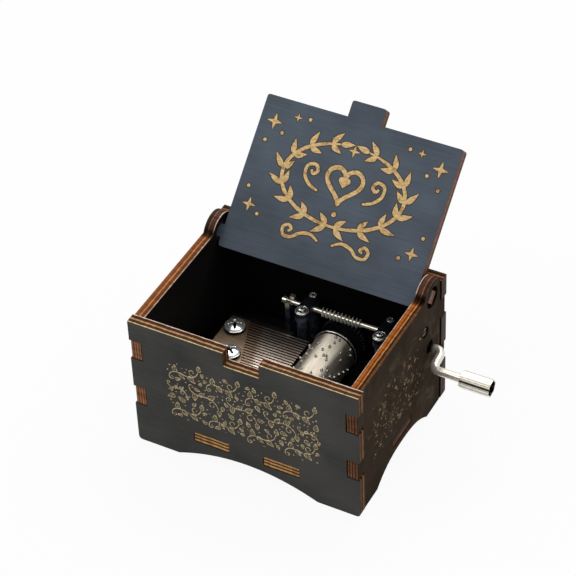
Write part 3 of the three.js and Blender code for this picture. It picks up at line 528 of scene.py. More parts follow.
def painted(name, light, dark, roughness, painted_highlight=0.0):
    """Dark die casting: a soft sheen with a grainy skin, and the share of a painted highlight along its
    rims.
    """
    shader = Shader(name)
    place = shader.millimetres()
    skin = shader.noise(place, 3.5, 3.0, 0.6)
    clouds = shader.noise(place, 0.35, 2.0)
    colour = shader.mix(shader.spread(clouds, 0.35, 0.65), dark, light)
    # painted highlight: the rims between the top and the sides are coloured bright
    if painted_highlight:
        level = shader.vector("DOT_PRODUCT", shader.coordinates["Normal"], (0, 0, 1))
        rim = shader.math(
            "MULTIPLY",
            shader.spread(level, 0.25, 0.5, smooth=True),
            shader.spread(level, 0.85, 0.97, 1.0, 0.0, smooth=True),
        )
        colour = shader.mix(shader.math("MULTIPLY", rim, painted_highlight), colour, srgb(176, 178, 184))
    return shader.finish(
        Base_Color=colour,
        Metallic=0.55,
        Roughness=shader.gloss(skin, *roughness),
        Normal=shader.bump(skin, 0.5, 0.03),
    )


# Metal
CYLINDER_X = 7.0
CYLINDER_Z = 16.6
CYLINDER_RADIUS = 5.8
GEAR_RADIUS = 6.15
COMB_HEEL = -24.6
NICKEL_BRIGHT = srgb(248, 243, 232)
NICKEL_DULL = srgb(224, 216, 202)
screw_nickel = cut_nickel(
    "screw_nickel", srgb(252, 251, 247), srgb(236, 236, 232), srgb(9, 9, 10), 0.86, (0.15, 0.23)
)
# its shaded colour is the dark brown painted as shade in the grip's seam and inside
grip_nickel = cut_nickel(
    "grip_nickel", srgb(250, 244, 232), srgb(226, 217, 201), srgb(20, 11, 6), 0.66, (0.12, 0.2)
)
thread_nickel = cut_nickel(
    "thread_nickel", srgb(250, 248, 242), srgb(228, 224, 216), srgb(12, 12, 13), 0.12, (0.25, 0.4)
)
pin_steel = cut_nickel(
    "pin_steel", srgb(244, 242, 236), srgb(220, 216, 208), srgb(12, 11, 10), 0.4, (0.2, 0.3)
)
# painted shade for the dark discs round the pins' roots
pin_shadow_finish = metal("pin_shadow_finish", srgb(40, 36, 32), srgb(20, 18, 16), (0.4, 0.6), bare=0.2)
dark_screw = metal("dark_screw", srgb(70, 47, 34), srgb(24, 17, 13), (0.35, 0.5), bare=0.25)
# the bearing caps take a painted highlight along their rims
cap_casting = painted("cap_skin", srgb(44, 48, 58), srgb(24, 27, 34), (0.30, 0.42), 0.7)
# the bed is coloured darker than the other castings: painted shade under the comb and low in the box
bed_casting_shaded = painted("bed_skin", srgb(32, 31, 32), srgb(17, 16, 17), (0.40, 0.55))
# painted shade: the crank's socket, seen through the wall's hole, is coloured dark
shaded_socket = painted("shaded_socket", srgb(58, 50, 44), srgb(26, 22, 20), (0.35, 0.5))
by_node = {
    "drive_gear": gear_finish(),
    "wall_screw": dark_screw,
    "bearing_cap_left": cap_casting,
    "bearing_cap_right": cap_casting,
    "bed_plate": bed_casting_shaded,
    "crank_wire": wire_finish(),
}
by_slot = {
    "nickel": metal("nickel_plate", NICKEL_BRIGHT, NICKEL_DULL, (0.14, 0.28), 0.01, 0.85),
    "casting": painted("casting_skin", srgb(98, 108, 126), srgb(52, 57, 68), (0.34, 0.48)),
    "comb_steel": comb_finish(),
    "black_steel": metal("black_steel_skin", srgb(96, 96, 100), srgb(36, 36, 40), (0.18, 0.32)),
}
for name, node in nodes.items():
    if name not in WOODEN:
        slot = node.material_slots[0]
        slot.material = by_node.get(name) or by_slot[slot.material.name]


def smooth_group():
    """Smooths a node's shading but for its sharp edges, and drops the normals that came with the file."""
    group = bpy.data.node_groups.new("smooth_shading", "GeometryNodeTree")
    for way in ("INPUT", "OUTPUT"):
        group.interface.new_socket("Geometry", in_out=way, socket_type="NodeSocketGeometry")
    work = Nodes(group)
    start = work.add("NodeGroupInput")
    angle = work.add("GeometryNodeInputMeshEdgeAngle")
    sharp = work.add(
        "FunctionNodeCompare",
        {0: angle.outputs[0], 1: EDGE_SHARPNESS},
        data_type="FLOAT",
        operation="GREATER_THAN",
    )
    normals = work.add(
        "GeometryNodeSetMeshNormal",
        {"Mesh": start.outputs[0], "Edge Sharpness": sharp.outputs[0]},
        mode="SHARPNESS",
    )
    work.add("NodeGroupOutput", {0: normals.outputs[0]})
    return group


smooth_shading = smooth_group()


def flatten_normals(piece):
    """Lets large faces set the shading at their edges, so that a long side shades evenly."""
    weighted = piece.modifiers.new("weighted", "WEIGHTED_NORMAL")
    weighted.keep_sharp = True
    weighted.weight = 100


def soften(node, width):
    """Small bevels on the sharp edges and smooth shading on the rest, without moving the CAD mesh."""
    weld = node.modifiers.new("weld", "WELD")
    weld.merge_threshold = 0.0005 * MM
    flat = node.modifiers.new("flat", "DECIMATE")
    flat.decimate_type = "DISSOLVE"
    flat.angle_limit = math.radians(0.2)
    if width:
        bevel = node.modifiers.new("bevel", "BEVEL")
        bevel.width = width * MM
        bevel.segments = 2
        bevel.limit_method = "ANGLE"
        bevel.angle_limit = EDGE_SHARPNESS
    smooth = node.modifiers.new("smooth", "NODES")
    smooth.node_group = smooth_shading
    flatten_normals(node)


WOOD_BEVEL = 0.15
CASTING_BEVEL = 0.16
METAL_BEVEL = 0.06
bevels = dict.fromkeys(WOODEN, WOOD_BEVEL)
bevels |= dict.fromkeys(("cylinder_shell", "drive_gear", "comb"), 0)
for side in ("left", "right"):
    bevels |= {"worm_bearing_" + side: CASTING_BEVEL, "bearing_cap_" + side: CASTING_BEVEL}
for name, node in nodes.items():
    soften(node, bevels.get(name, METAL_BEVEL))


# Fine metal pieces. Those that replace a node stay inside it, but for the crank's grip, whose corners
# reach 0.15 mm past the node's flats. The others stand for what the node beside them leaves out.
def solid(name, form, material, body, *replaced, angle=35):
    """A piece that rides on body. Its edges stay sharp where they turn more than angle."""
    piece = shape(name, form.vertices, form.faces, material)
    mesh = piece.data
    shell = bmesh.new()
    shell.from_mesh(mesh)
    bmesh.ops.recalc_face_normals(shell, faces=shell.faces)
    shell.to_mesh(mesh)
    shell.free()
    mesh.attributes.new("shade", "FLOAT", "POINT").data.foreach_set("value", form.shades)
    mesh.shade_smooth()
    mesh.set_sharp_from_angle(angle=math.radians(angle))
    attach(piece, body)
    flatten_normals(piece)
    if replaced:
        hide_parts(*replaced)


class Form:
    """Vertices and the faces between them."""

    def __init__(self):
        self.vertices = []
        self.faces = []

    def skin(self, rings):
        """Faces between each ring and the next."""
        for a, b in zip(rings, rings[1:]):
            count = max(len(a), len(b))
            for i in range(count):
                j = (i + 1) % count
                if len(a) == 1:
                    self.faces.append((a[0], b[j], b[i]))
                elif len(b) == 1:
                    self.faces.append((a[i], a[j], b[0]))
                else:
                    self.faces.append((a[i], a[j], b[j], b[i]))


class Turning(Form):
    """Rings of vertices round an axis, with their faces. A vertex's shade is 1 where it is painted black as
    shade.
    """

    def __init__(self, origin, axis, side):
        super().__init__()
        self.shades = []
        self.aim(origin, axis, side)

    def aim(self, origin, axis, side):
        self.origin = Vector(origin)
        self.axis = Vector(axis).normalized()
        side = Vector(side)
        self.side = (side - self.axis * side.dot(self.axis)).normalized()
        self.other = self.axis.cross(self.side)

    def point(self, along, radius, angle, shade=0.0):
        across = self.side * math.cos(angle) + self.other * math.sin(angle)
        self.vertices.append(self.origin + (self.axis * along + across * radius) * MM)
        self.shades.append(shade)
        return len(self.vertices) - 1

    def ring(self, along, radius, count, shade=0.0):
        if radius == 0:
            return [self.point(along, 0, 0, shade)]
        turn = 2 * math.pi
        return [self.point(along, radius, turn * i / count, shade) for i in range(count)]

    def lathe(self, profile, count, closed=False):
        """profile holds distances along the axis with a radius and sometimes a shade. closed joins its end
        to its start."""
        rings = [self.ring(row[0], row[1], count, *row[2:]) for row in profile]
        self.skin(rings + rings[:1] if closed else rings)
        return self


def smooth_step(value, low, high):
    share = min(1.0, max(0.0, (value - low) / (high - low)))
    return share * share * (3 - 2 * share)


# radius and height of the head, rise of its dome, width and depth of the cross, rings and their vertices
COMB_SCREW = (2.85, 1.7, 0.62, 0.76, 0.6, 30, 120)
CAP_SCREW = (1.05, 0.85, 0.36, 0.4, 0.35, 20, 72)


def screw_head(node, x, y, foot, cross_turn, size):
    """A domed head with a cross recess, in place of node. Painted shade blackens the recess and the head's
    side wall, and a ring of painted shade runs round its dome.
    """
    radius, height, crown, width, deep, rings, count = size
    head = Turning(at(x, y, 0), (0, 0, 1), (1, 0, 0))
    shoulder = 0.1 * height
    wall = foot + height - crown - shoulder
    # painted shade: the head's underside and side wall are shaded near black
    rows = [
        head.ring(foot, 0, count, 1.0),
        head.ring(foot, radius * 0.97, count, 1.0),
        head.ring(foot + 0.05, radius, count, 1.0),
        head.ring(wall - 0.06, radius, count, 0.97),
        head.ring(wall, radius, count, 0.5),
    ]
    reach = radius * 0.66
    for i in range(rings + 1):
        share = 1 - i / (rings + 1)
        away = radius * share
        # groove only paints a ring of shade; the dome has no groove there
        groove = 0.7 * smooth_step(share, 0.80, 0.86) * (1 - smooth_step(share, 0.90, 0.95))
        rise = foot + height - crown * share**2 - shoulder * smooth_step(share, 0.90, 1.0)
        row = []
        for j in range(count):
            angle = 2 * math.pi * j / count
            hole = 0.0
            for turn in (cross_turn, cross_turn + math.pi / 2):
                u = abs(away * math.cos(angle - turn))
                v = abs(away * math.sin(angle - turn))
                half = width / 2 * (1 - 0.35 * u / reach)
                arm = 1 - smooth_step(v, half - 0.05, half + 0.05)
                arm *= 1 - smooth_step(u, reach - 0.25 * radius, reach)
                hole = max(hole, arm)
            row.append(head.point(rise - deep * hole, away, angle, max(hole, groove)))
        rows.append(row)
    rows.append(head.ring(foot + height - deep, 0, count, 1.0))
    head.skin(rows)
    solid("fine_" + node, head, screw_nickel, "case", node, angle=50)


COMB_TOP = 18.5
CAP_TOP = 24.8
CAP_FRONT_Y = 12.8
CAP_SCREWS = (("front", CAP_FRONT_Y, CAP_TOP + 0.35, 0.4), ("rear", 19.2, CAP_TOP, 0.9))
# the third column paints shade: the gaps between the washer's rings are painted near black
WASHER = [
    (0.0, 0.60, 1.0), (0.0, 1.85, 0.6), (0.10, 1.84), (0.22, 1.78), (0.31, 1.70),
    (0.35, 1.61), (0.32, 1.53), (0.22, 1.47, 0.9), (0.08, 1.44, 1.0), (0.08, 1.36, 1.0),
    (0.20, 1.34, 0.8), (0.30, 1.26), (0.34, 1.18), (0.30, 1.11, 0.6), (0.26, 1.08, 1.0),
    (0.2, 0.60, 1.0),
]
screw_head("comb_screw_rear", -19.4, 5.5, COMB_TOP, 0.5, COMB_SCREW)
screw_head("comb_screw_front", -15.9, -3.6, COMB_TOP, 0.95, COMB_SCREW)
for side, x in (("left", -3.4), ("right", 19.0)):
    for end, y, foot, turn in CAP_SCREWS:
        screw_head("cap_screw_" + side + "_" + end, x, y, foot, turn, CAP_SCREW)
    name = "cap_washer_" + side
    washer = Turning(at(x, CAP_FRONT_Y, CAP_TOP), (0, 0, 1), (1, 0, 0))
    washer.lathe(WASHER, 96, closed=True)
    solid("fine_" + name, washer, screw_nickel, "case", name, angle=75)


# The cylinder: a smooth tube whose pins are pieces of their own
axis_line = at(CYLINDER_X, 0, CYLINDER_Z)


def along_cylinder():
    return Turning(axis_line, BACK, (0, 0, 1))


TUBE = [
    (-8.50, 5.20), (-8.58, 5.72), (-8.50, CYLINDER_RADIUS),
    (10.64, CYLINDER_RADIUS), (10.74, 5.70), (10.72, 5.20),
]
tube = along_cylinder().lathe(TUBE, 120, closed=True)
solid("fine_cylinder", tube, turned_finish(), "cylinder", "cylinder_shell")

# Pins, as their place along the cylinder and their turn from its top, in degrees
PINS_IN_SIGHT = (
    (8.0, 14.6), (6.1, 10.2), (4.3, -0.4), (2.6, 11.1), (1.8, 22.7), (0.0, 35.0),
    (-1.9, 28.6), (-0.9, 41.5), (6.4, -22.8), (4.9, -43.0), (4.1, -29.3), (2.2, -36.9),
    (-0.9, -34.0), (1.3, -4.1), (6.6, 42.1), (4.9, 53.5), (8.9, 68.0), (9.9, 58.0),
    (6.2, 93.3), (4.0, 83.4), (1.9, 74.4), (-0.2, 67.7), (-1.4, 55.8), (9.6, 21.0),
    (-3.9, -18.8), (2.8, 17.6), (9.9, 9.0), (-3.2, 44.0), (-4.6, 12.0), (-6.1, 30.0),
)
PINS_BEHIND = 44
PIN_ROOM = 1.2
# the tip's shade is painted: pins read as dark dots where the cylinder is bright
PIN = [
    (5.6, 0), (5.6, 0.28), (6.2, 0.27), (6.33, 0.25), (6.36, 0.21, 0.9), (6.39, 0.12, 1.0),
    (6.4, 0, 1.0),
]
# dark discs round the pins' roots: painted shade round each pin
PIN_SHADOW_DISC = [(5.6, 0), (5.6, 0.40), (CYLINDER_RADIUS, 0.40), (5.83, 0.36), (5.84, 0)]
pick = random.Random(18)
pin_places = list(PINS_IN_SIGHT)
while len(pin_places) < len(PINS_IN_SIGHT) + PINS_BEHIND:
    y, turn = pick.uniform(-7.6, 9.8), pick.uniform(104, 306)
    near = min(
        math.hypot(y - other_y, math.radians(turn - other_turn % 360) * CYLINDER_RADIUS)
        for other_y, other_turn in pin_places
    )
    if near > PIN_ROOM:
        pin_places.append((y, turn))
pins = along_cylinder()
shadow_discs = along_cylinder()
for y, degrees in pin_places:
    angle = math.radians(degrees)
    out = Vector((math.sin(angle), 0, math.cos(angle)))
    place = axis_line + Vector((0, y, 0)) * MM
    for work, profile, count in ((pins, PIN, 14), (shadow_discs, PIN_SHADOW_DISC, 16)):
        work.aim(place, out, (0, 1, 0))
        work.lathe(profile, count)
solid("cylinder_pins", pins, pin_steel, "cylinder")
solid("cylinder_pin_shadows", shadow_discs, pin_shadow_finish, "cylinder")

# the third column paints shade: the gap before the cap's rim and its back are painted near black
CAP_REAR = [
    (10.74, 1.35, 1.0), (10.74, 5.45, 1.0), (10.98, 5.50, 1.0), (11.0, 5.96, 1.0),
    (11.04, 6.06, 0.1), (11.14, 6.14), (11.3, 6.15), (11.46, 6.13), (11.53, 6.04),
    (11.54, 5.90, 0.8), (11.54, 1.35, 1.0),
]
rear_cap = along_cylinder().lathe(CAP_REAR, 120, closed=True)
solid("fine_cap_rear", rear_cap, screw_nickel, "cylinder", "cylinder_cap_rear")

# The worm shaft with its socket, and the thread as a sharp ridge wound round it
GEAR_TEETH = 34
TOOTH_DEPTH = 0.65
SHAFT_RADIUS = 0.65
THREAD_ROOT = 0.60
THREAD_TIP = 1.28
THREAD_TURNS = 11
THREAD_STEPS = 40
THREAD_PITCH = math.pi * (2 * GEAR_RADIUS - TOOTH_DEPTH) / GEAR_TEETH
SHAFT = [(-10.55, 0), (-10.55, 0.58), (-10.47, SHAFT_RADIUS), (24.4, SHAFT_RADIUS), (24.4, 0)]
SOCKET = [
    (23.6, 0), (23.6, 1.80), (23.7, 1.90), (27.88, 1.90), (28.0, 1.80), (28.0, 1.30),
    (25.2, 1.30), (25.2, 0),
]
worm_line = at(0, 16.0, 23.6)
shaft = Turning(worm_line, (1, 0, 0), (0, 0, 1)).lathe(SHAFT, 40)
solid("fine_worm_shaft", shaft, grip_nickel, "crank", "worm_shaft")
socket = Turning(worm_line, (1, 0, 0), (0, 0, 1)).lathe(SOCKET, 40)
solid("crank_socket", socket, shaded_socket, "crank")
thread = Turning(worm_line, (1, 0, 0), (0, 1, 0))
section = [(-0.11, THREAD_ROOT), (-0.05, 1.20), (-0.03, THREAD_TIP)]
section += [(-across, radius) for across, radius in reversed(section)]
rows = []
for i in range(THREAD_TURNS * THREAD_STEPS + 1):
    turns = i / THREAD_STEPS
    x = CYLINDER_X + THREAD_PITCH * (turns - round(THREAD_TURNS / 2))
    end = min(1.0, min(turns, THREAD_TURNS - turns) * 3)
    angle = 2 * math.pi * turns - math.pi / 2
    rows.append([])
    for across, radius in section:
        away = THREAD_ROOT + (radius - THREAD_ROOT) * end
        rows[-1].append(thread.point(x + across, away, angle))
thread.skin(rows)
thread.faces.append(tuple(rows[0]))
thread.faces.append(tuple(reversed(rows[-1])))
solid("worm_thread", thread, thread_nickel, "crank", angle=60)


# The crank's grip: sheet metal rolled up to a six-sided sleeve, with a seam along one side
GRIP_FLAT = 2.25
GRIP_CORNER = 2.40
GRIP_WALL = 0.38
GRIP_END_WALL = 0.8
GRIP_BORE = 1.45
GRIP_SEAM = math.radians(154)
GRIP_COUNT = 180
grip_low, grip_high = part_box("crank_grip")
grip_length = (grip_high.x - grip_low.x) / MM
grip_middle = (grip_low + grip_high) / 2
sleeve = Turning((grip_low.x, grip_middle.y, grip_middle.z), (1, 0, 0), (0, 1, 0))


def grip_ring(along, inset, seam=0.0, shade=0.0):
    """A six-sided ring, set in from the outer face, with the seam's groove this deep."""
    ring = []
    for i in range(GRIP_COUNT):
        angle = 2 * math.pi * i / GRIP_COUNT
        off_flat = (angle - GRIP_SEAM + math.pi / 6) % (math.pi / 3) - math.pi / 6
        off_corner = math.degrees(math.pi / 6 - abs(off_flat))
        off_seam = math.degrees((angle - GRIP_SEAM + math.pi) % (2 * math.pi) - math.pi)
        groove = math.exp(-((off_seam / 6.5) ** 2))
        away = min(GRIP_FLAT / math.cos(off_flat), GRIP_CORNER) - inset - seam * groove
        # painted shade: the seam's groove, the corners and the inside of the sleeve are darkened
        dark = max(shade, min(1.0, 2.2 * groove), 0.6 * math.exp(-((off_corner / 4.0) ** 2)))
        ring.append(sleeve.point(along, away, angle, dark))
    return ring


# rings inside the sleeve carry a shade of 1: its inside is painted dark brown as shade
rings = [
    sleeve.ring(0.0, GRIP_BORE, GRIP_COUNT, 1.0),
    grip_ring(0.0, 0.25),
    grip_ring(0.05, 0.08, 0.15),
    grip_ring(0.16, 0.0, 0.25),
    grip_ring(grip_length - 0.14, 0.0, 0.25),
    grip_ring(grip_length - 0.04, 0.05, 0.2),
    grip_ring(grip_length, 0.14, 0.2),
    grip_ring(grip_length, GRIP_WALL - 0.06, 0.18, 0.3),
    grip_ring(grip_length - 0.08, GRIP_WALL, 0.18, 1.0),
    grip_ring(GRIP_END_WALL, GRIP_WALL, 0.18, 1.0),
    sleeve.ring(GRIP_END_WALL, GRIP_BORE, GRIP_COUNT, 1.0),
]
sleeve.skin(rings + rings[:1])
solid("fine_grip", sleeve, grip_nickel, "grip", "crank_grip", angle=60)


# Engraved ornament
def between(p, q, r, s, t):
    """The value at the share t of the way from q to r, on a smooth curve that also meets p and s."""
    bend = 2 * p - 5 * q + 4 * r - s
    twist = 3 * q - p - 3 * r + s
    return 0.5 * (2 * q + (r - p) * t + bend * t * t + twist * t * t * t)


def curve(points, steps):
    """A smooth path through the points."""
    ends = [points[0], *points, points[-1]]
    path = []
    for a, b, c, d in zip(ends, ends[1:], ends[2:], ends[3:]):
        for i in range(steps):
            t = i / steps
            path.append(tuple(between(*four, t) for four in zip(a, b, c, d)))
    path.append(points[-1])
    return path


def turned(points, angle, place, flip=1, size=1.0):
    """The points turned, mirrored across their length with flip -1, scaled, and set down at place."""
    c, s = math.cos(angle) * size, math.sin(angle) * size
    x, y = place
    return [(x + u * c - v * flip * s, y + u * s + v * flip * c) for u, v in points]


def spiral(outer, inner, start, turns, steps):
    """A path that winds round the origin, from the radius outer to the radius inner."""
    path = []
    for i in range(steps + 1):
        t = i / steps
        radius = outer + (inner - outer) * t**0.8
        angle = start + turns * 2 * math.pi * t
        path.append((radius * math.cos(angle), radius * math.sin(angle)))
    return path


SUNK = -0.02  # the foot of every line and patch, under the face
RIDGE = 0.86  # the share of a line's half width at which its slopes meet its low ridge
PATCH_TOP = 0.94  # the same for a patch, from its middle to its outline
SHOULDER = 0.8  # the share of the height at that place
HEIGHTS = 97  # lines are spread over this many heights, so that they rarely share a face where they cross


class Engraving(Form):
    """Shallow lines and patches on a face. u runs along it and v up it, in millimetres from its origin.
    grow widens them all, and weight is the share of their width that lines get."""

    def __init__(self, name, origin, along, up, out, grow=0.0, height=0.02, weight=1.0):
        super().__init__()
        self.name = name
        self.weight = weight
        self.origin = Vector(origin)
        self.frame = (Vector(along), Vector(up), Vector(out))
        self.grow = grow
        self.height = height
        self.marks = []

    def point(self, u, v, out):
        along, up, outward = self.frame
        self.vertices.append(self.origin + (along * u + up * v + outward * out) * MM)
        return len(self.vertices) - 1

    def line(self, path, width, taper, wobble=0.0, pick=None):
        """A line that narrows to the share taper at both ends. Its section is a low ridge."""
        half = width / 2 * self.weight
        count = len(path)
        self.marks += path[::2]
        rows = []
        lift = self.height * (0.92 + 0.16 * (len(self.faces) % HEIGHTS) / HEIGHTS)
        for i, (u, v) in enumerate(path):
            before = path[max(i - 1, 0)]
            after = path[min(i + 1, count - 1)]
            du, dv = after[0] - before[0], after[1] - before[1]
            length = math.hypot(du, dv) or 1.0
            nu, nv = -dv / length, du / length
            t = i / (count - 1)
            end = min(1.0, min(t, 1 - t) * 5)
            w = half * (taper + (1 - taper) * end**0.6)
            if pick:
                w *= 1 + wobble * pick.uniform(-1, 1)
            w += self.grow
            if i in (0, count - 1):
                way = -1 if i == 0 else 1
                u += way * du / length * self.grow
                v += way * dv / length * self.grow
            section = ((w, SUNK), (w * RIDGE, lift * SHOULDER), (0, lift))
            section += ((-w * RIDGE, lift * SHOULDER), (-w, SUNK))
            rows.append([self.point(u + nu * s, v + nv * s, out) for s, out in section])
        self.skin(rows)
        self.faces.append(tuple(reversed(rows[0])))
        self.faces.append(tuple(rows[-1]))

    def patch(self, outline):
        """A filled shape that every point of its outline sees the middle of."""
        count = len(outline)
        middle_u = sum(u for u, v in outline) / count
        middle_v = sum(v for u, v in outline) / count
        ends = zip(outline, outline[1:] + outline[:1])
        area = sum(a[0] * b[1] - b[0] * a[1] for a, b in ends)
        if area < 0:
            outline = outline[::-1]
        low, high = [], []
        for i, (u, v) in enumerate(outline):
            before, after = outline[i - 1], outline[(i + 1) % count]
            du, dv = after[0] - before[0], after[1] - before[1]
            length = math.hypot(du, dv) or 1.0
            gu = u + dv / length * self.grow
            gv = v - du / length * self.grow
            low.append(self.point(gu, gv, SUNK))
            inner_u = middle_u + (gu - middle_u) * PATCH_TOP
            inner_v = middle_v + (gv - middle_v) * PATCH_TOP
            high.append(self.point(inner_u, inner_v, self.height * SHOULDER))
        top = self.point(middle_u, middle_v, self.height)
        bottom = self.point(middle_u, middle_v, SUNK)
        for i in range(count):
            j = (i + 1) % count
            self.faces.append((low[i], low[j], high[j], high[i]))
            self.faces.append((high[i], high[j], top))
            self.faces.append((low[j], low[i], bottom))

    def finish(self, body, material, slot):
        piece = shape(self.name, self.vertices, self.faces, material)
        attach(piece, body)


LEAF_SHARES = (0.0, 0.08, 0.2, 0.36, 0.54, 0.72, 0.88, 1.0)


def leaf_sides(length, width, bend):
    """The two sides of a leaf along u, with its tip bent aside."""
    sides = []
    for way in (1, -1):
        side = []
        for t in LEAF_SHARES:
            swell = math.sin(math.pi * t**0.72) * (1 - 0.25 * t)
            side.append((length * t, way * width / 2 * swell + bend * length * t * t))
        sides.append(side)
    return sides


LEAF_LENGTH = 2.7
LEAF_WIDTH = 1.75
LEAF_BEND = 0.22
VEINS = ((0.25, 0.42), (0.45, 0.40), (0.65, 0.26))  # shares of the leaf's length, with the veins' reach


def vine_leaf(work, place, angle, flip, size):
    """An outlined leaf with three pairs of veins."""
    for side in leaf_sides(LEAF_LENGTH, LEAF_WIDTH, LEAF_BEND):
        work.line(turned(curve(side, 3), angle, place, flip, size), 0.27, 0.5)
    for share, reach in VEINS:
        root = (LEAF_LENGTH * share, LEAF_BEND * LEAF_LENGTH * share**2)
        for rise in (reach * 0.95, -reach * 0.75):
            tip = (LEAF_LENGTH * (share + 0.16), root[1] + rise)
            work.line(turned([root, tip], angle, place, flip, size), 0.2, 0.7)


STEM = [
    (-5.0, -0.5), (-4.2, 0.35), (-2.6, 0.75), (-0.8, 0.1), (0.9, -0.75), (2.7, -0.85), (4.2, 0.0),
    (5.2, 1.3),
]


def vine_stem(work, place, angle, flip, size, pick):
    """A stem bent like an S, with a curl at its root, leaves on both sides and a tendril."""

    def set_down(points):
        return turned(points, angle, place, flip, size)

    work.line(set_down(curve(STEM, 5)), 0.36, 0.35)
    curl = [(u - 4.35, v - 1.15) for u, v in spiral(0.95, 0.25, 1.9, 1.05, 16)]
    work.line(set_down(curl), 0.30, 0.5)
    tendril = [(u + 3.0, v + 0.75) for u, v in spiral(1.35, 0.3, -1.6, -0.95, 16)]
    work.line(set_down(tendril), 0.27, 0.4)
    for u, v, way, side, share in (
        (-2.9, 0.75, 0.95, 1, 0.95),
        (-1.4, 0.35, -0.9, -1, 0.85),
        (1.0, -0.75, -0.75, -1, 1.0),
        (5.1, 1.2, 0.9, 1, 0.8),
    ):
        root = set_down([(u, v)])[0]
        vine_leaf(work, root, angle + way * flip, flip * side, size * share)
    for u, v in ((-3.6, 2.9), (0.2, 2.1), (-0.4, -3.0), (3.9, -1.8)):
        u += pick.uniform(-0.25, 0.25)
        v += pick.uniform(-0.25, 0.25)
        dash = set_down([(u - 0.22, v + 0.12), (u, v), (u + 0.22, v - 0.12)])
        work.line(dash, 0.34, 0.7)


STEM_ROOM = 10.7
STEM_ROWS = 3
GAP_TRIES = 900


def vine_field(work, left, right, low, high, seed):
    """Rows of stems in brick order, each a little different, with leaves and buds in the gaps."""
    pick = random.Random(seed)
    columns = max(1, round((right - left) / STEM_ROOM))
    wide = (right - left) / columns
    tall = (high - low) / STEM_ROWS
    for row in range(STEM_ROWS):
        flip = 1 if row % 2 == 0 else -1
        odd = row % 2
        for column in range(columns + odd):
            u = left + (column + 0.5 - odd / 2) * wide
            at_edge = odd and column in (0, columns)
            reach = 0.60 if at_edge else 0.94
            u = min(max(u, left + 3.0), right - 3.0)
            v = low + (row + 0.5) * tall - 0.35 * flip
            angle = flip * (0.30 + pick.uniform(-0.08, 0.08))
            place = (u, v + pick.uniform(-0.2, 0.2))
            vine_stem(work, place, angle, flip, reach, pick)
    for room, most, kind in ((1.5, 2.2, "leaf"), (1.0, 1.4, "leaf"), (0.85, 0.9, "bud")):
        for i in range(GAP_TRIES):
            place = (pick.uniform(left + 0.5, right - 0.5), pick.uniform(low + 0.5, high - 0.5))
            angle = pick.uniform(0, 2 * math.pi)
            near = min(math.dist(place, mark) for mark in work.marks)
            if near < room:
                continue
            if kind == "leaf":
                share = min(near, most) / 2.1
                root = turned([(-LEAF_LENGTH / 2, 0)], angle, place, 1, share)[0]
                vine_leaf(work, root, angle, pick.choice((-1, 1)), share)
            else:
                dash = turned([(-0.26, 0.08), (0, 0), (0.26, -0.08)], angle, place)
                work.line(dash, 0.36, 0.7)


def lid_leaf(work, root, angle, length, width, bend):
    """A filled leaf."""
    left, right = leaf_sides(length, width, bend)
    outline = [*left, *reversed(right[1:-1])]
    work.patch(turned(outline, angle, root))


def star(work, place, size):
    """A star with four points."""
    outline = []
    for i in range(16):
        turn = i * math.pi / 8
        radius = size * (1.0, 0.46, 0.30, 0.46)[i % 4]
        outline.append((place[0] + radius * math.cos(turn), place[1] + radius * math.sin(turn)))
    work.patch(outline)


def dot(work, place, radius):
    work.patch([(place[0] + u, place[1] + v) for u, v in spiral(radius, radius, 0, 11 / 12, 11)])


HEART_STEPS = 44


def heart_path(place, size):
    path = []
    for i in range(HEART_STEPS + 1):
        t = math.pi * (2 * i / HEART_STEPS - 1)
        u = math.sin(t) ** 3
        v = (13 * math.cos(t) - 5 * math.cos(2 * t) - 2 * math.cos(3 * t) - math.cos(4 * t)) / 16
        path.append((place[0] + u * size, place[1] + v * size))
    return path


HEART = (0.0, 20.6)
HEART_SIZE = 5.0
SCROLL = [
    (2.0, 4.6), (4.4, 5.8), (7.2, 5.3), (9.4, 3.7), (11.6, 3.8), (12.2, 5.6), (10.9, 6.6), (9.8, 5.7),
    (10.6, 5.0),
]
SWIRL = [
    (6.4, 17.0), (8.9, 17.9), (10.9, 20.0), (10.9, 22.6), (8.9, 23.4), (7.8, 21.9), (8.9, 20.9),
    (9.6, 21.8),
]


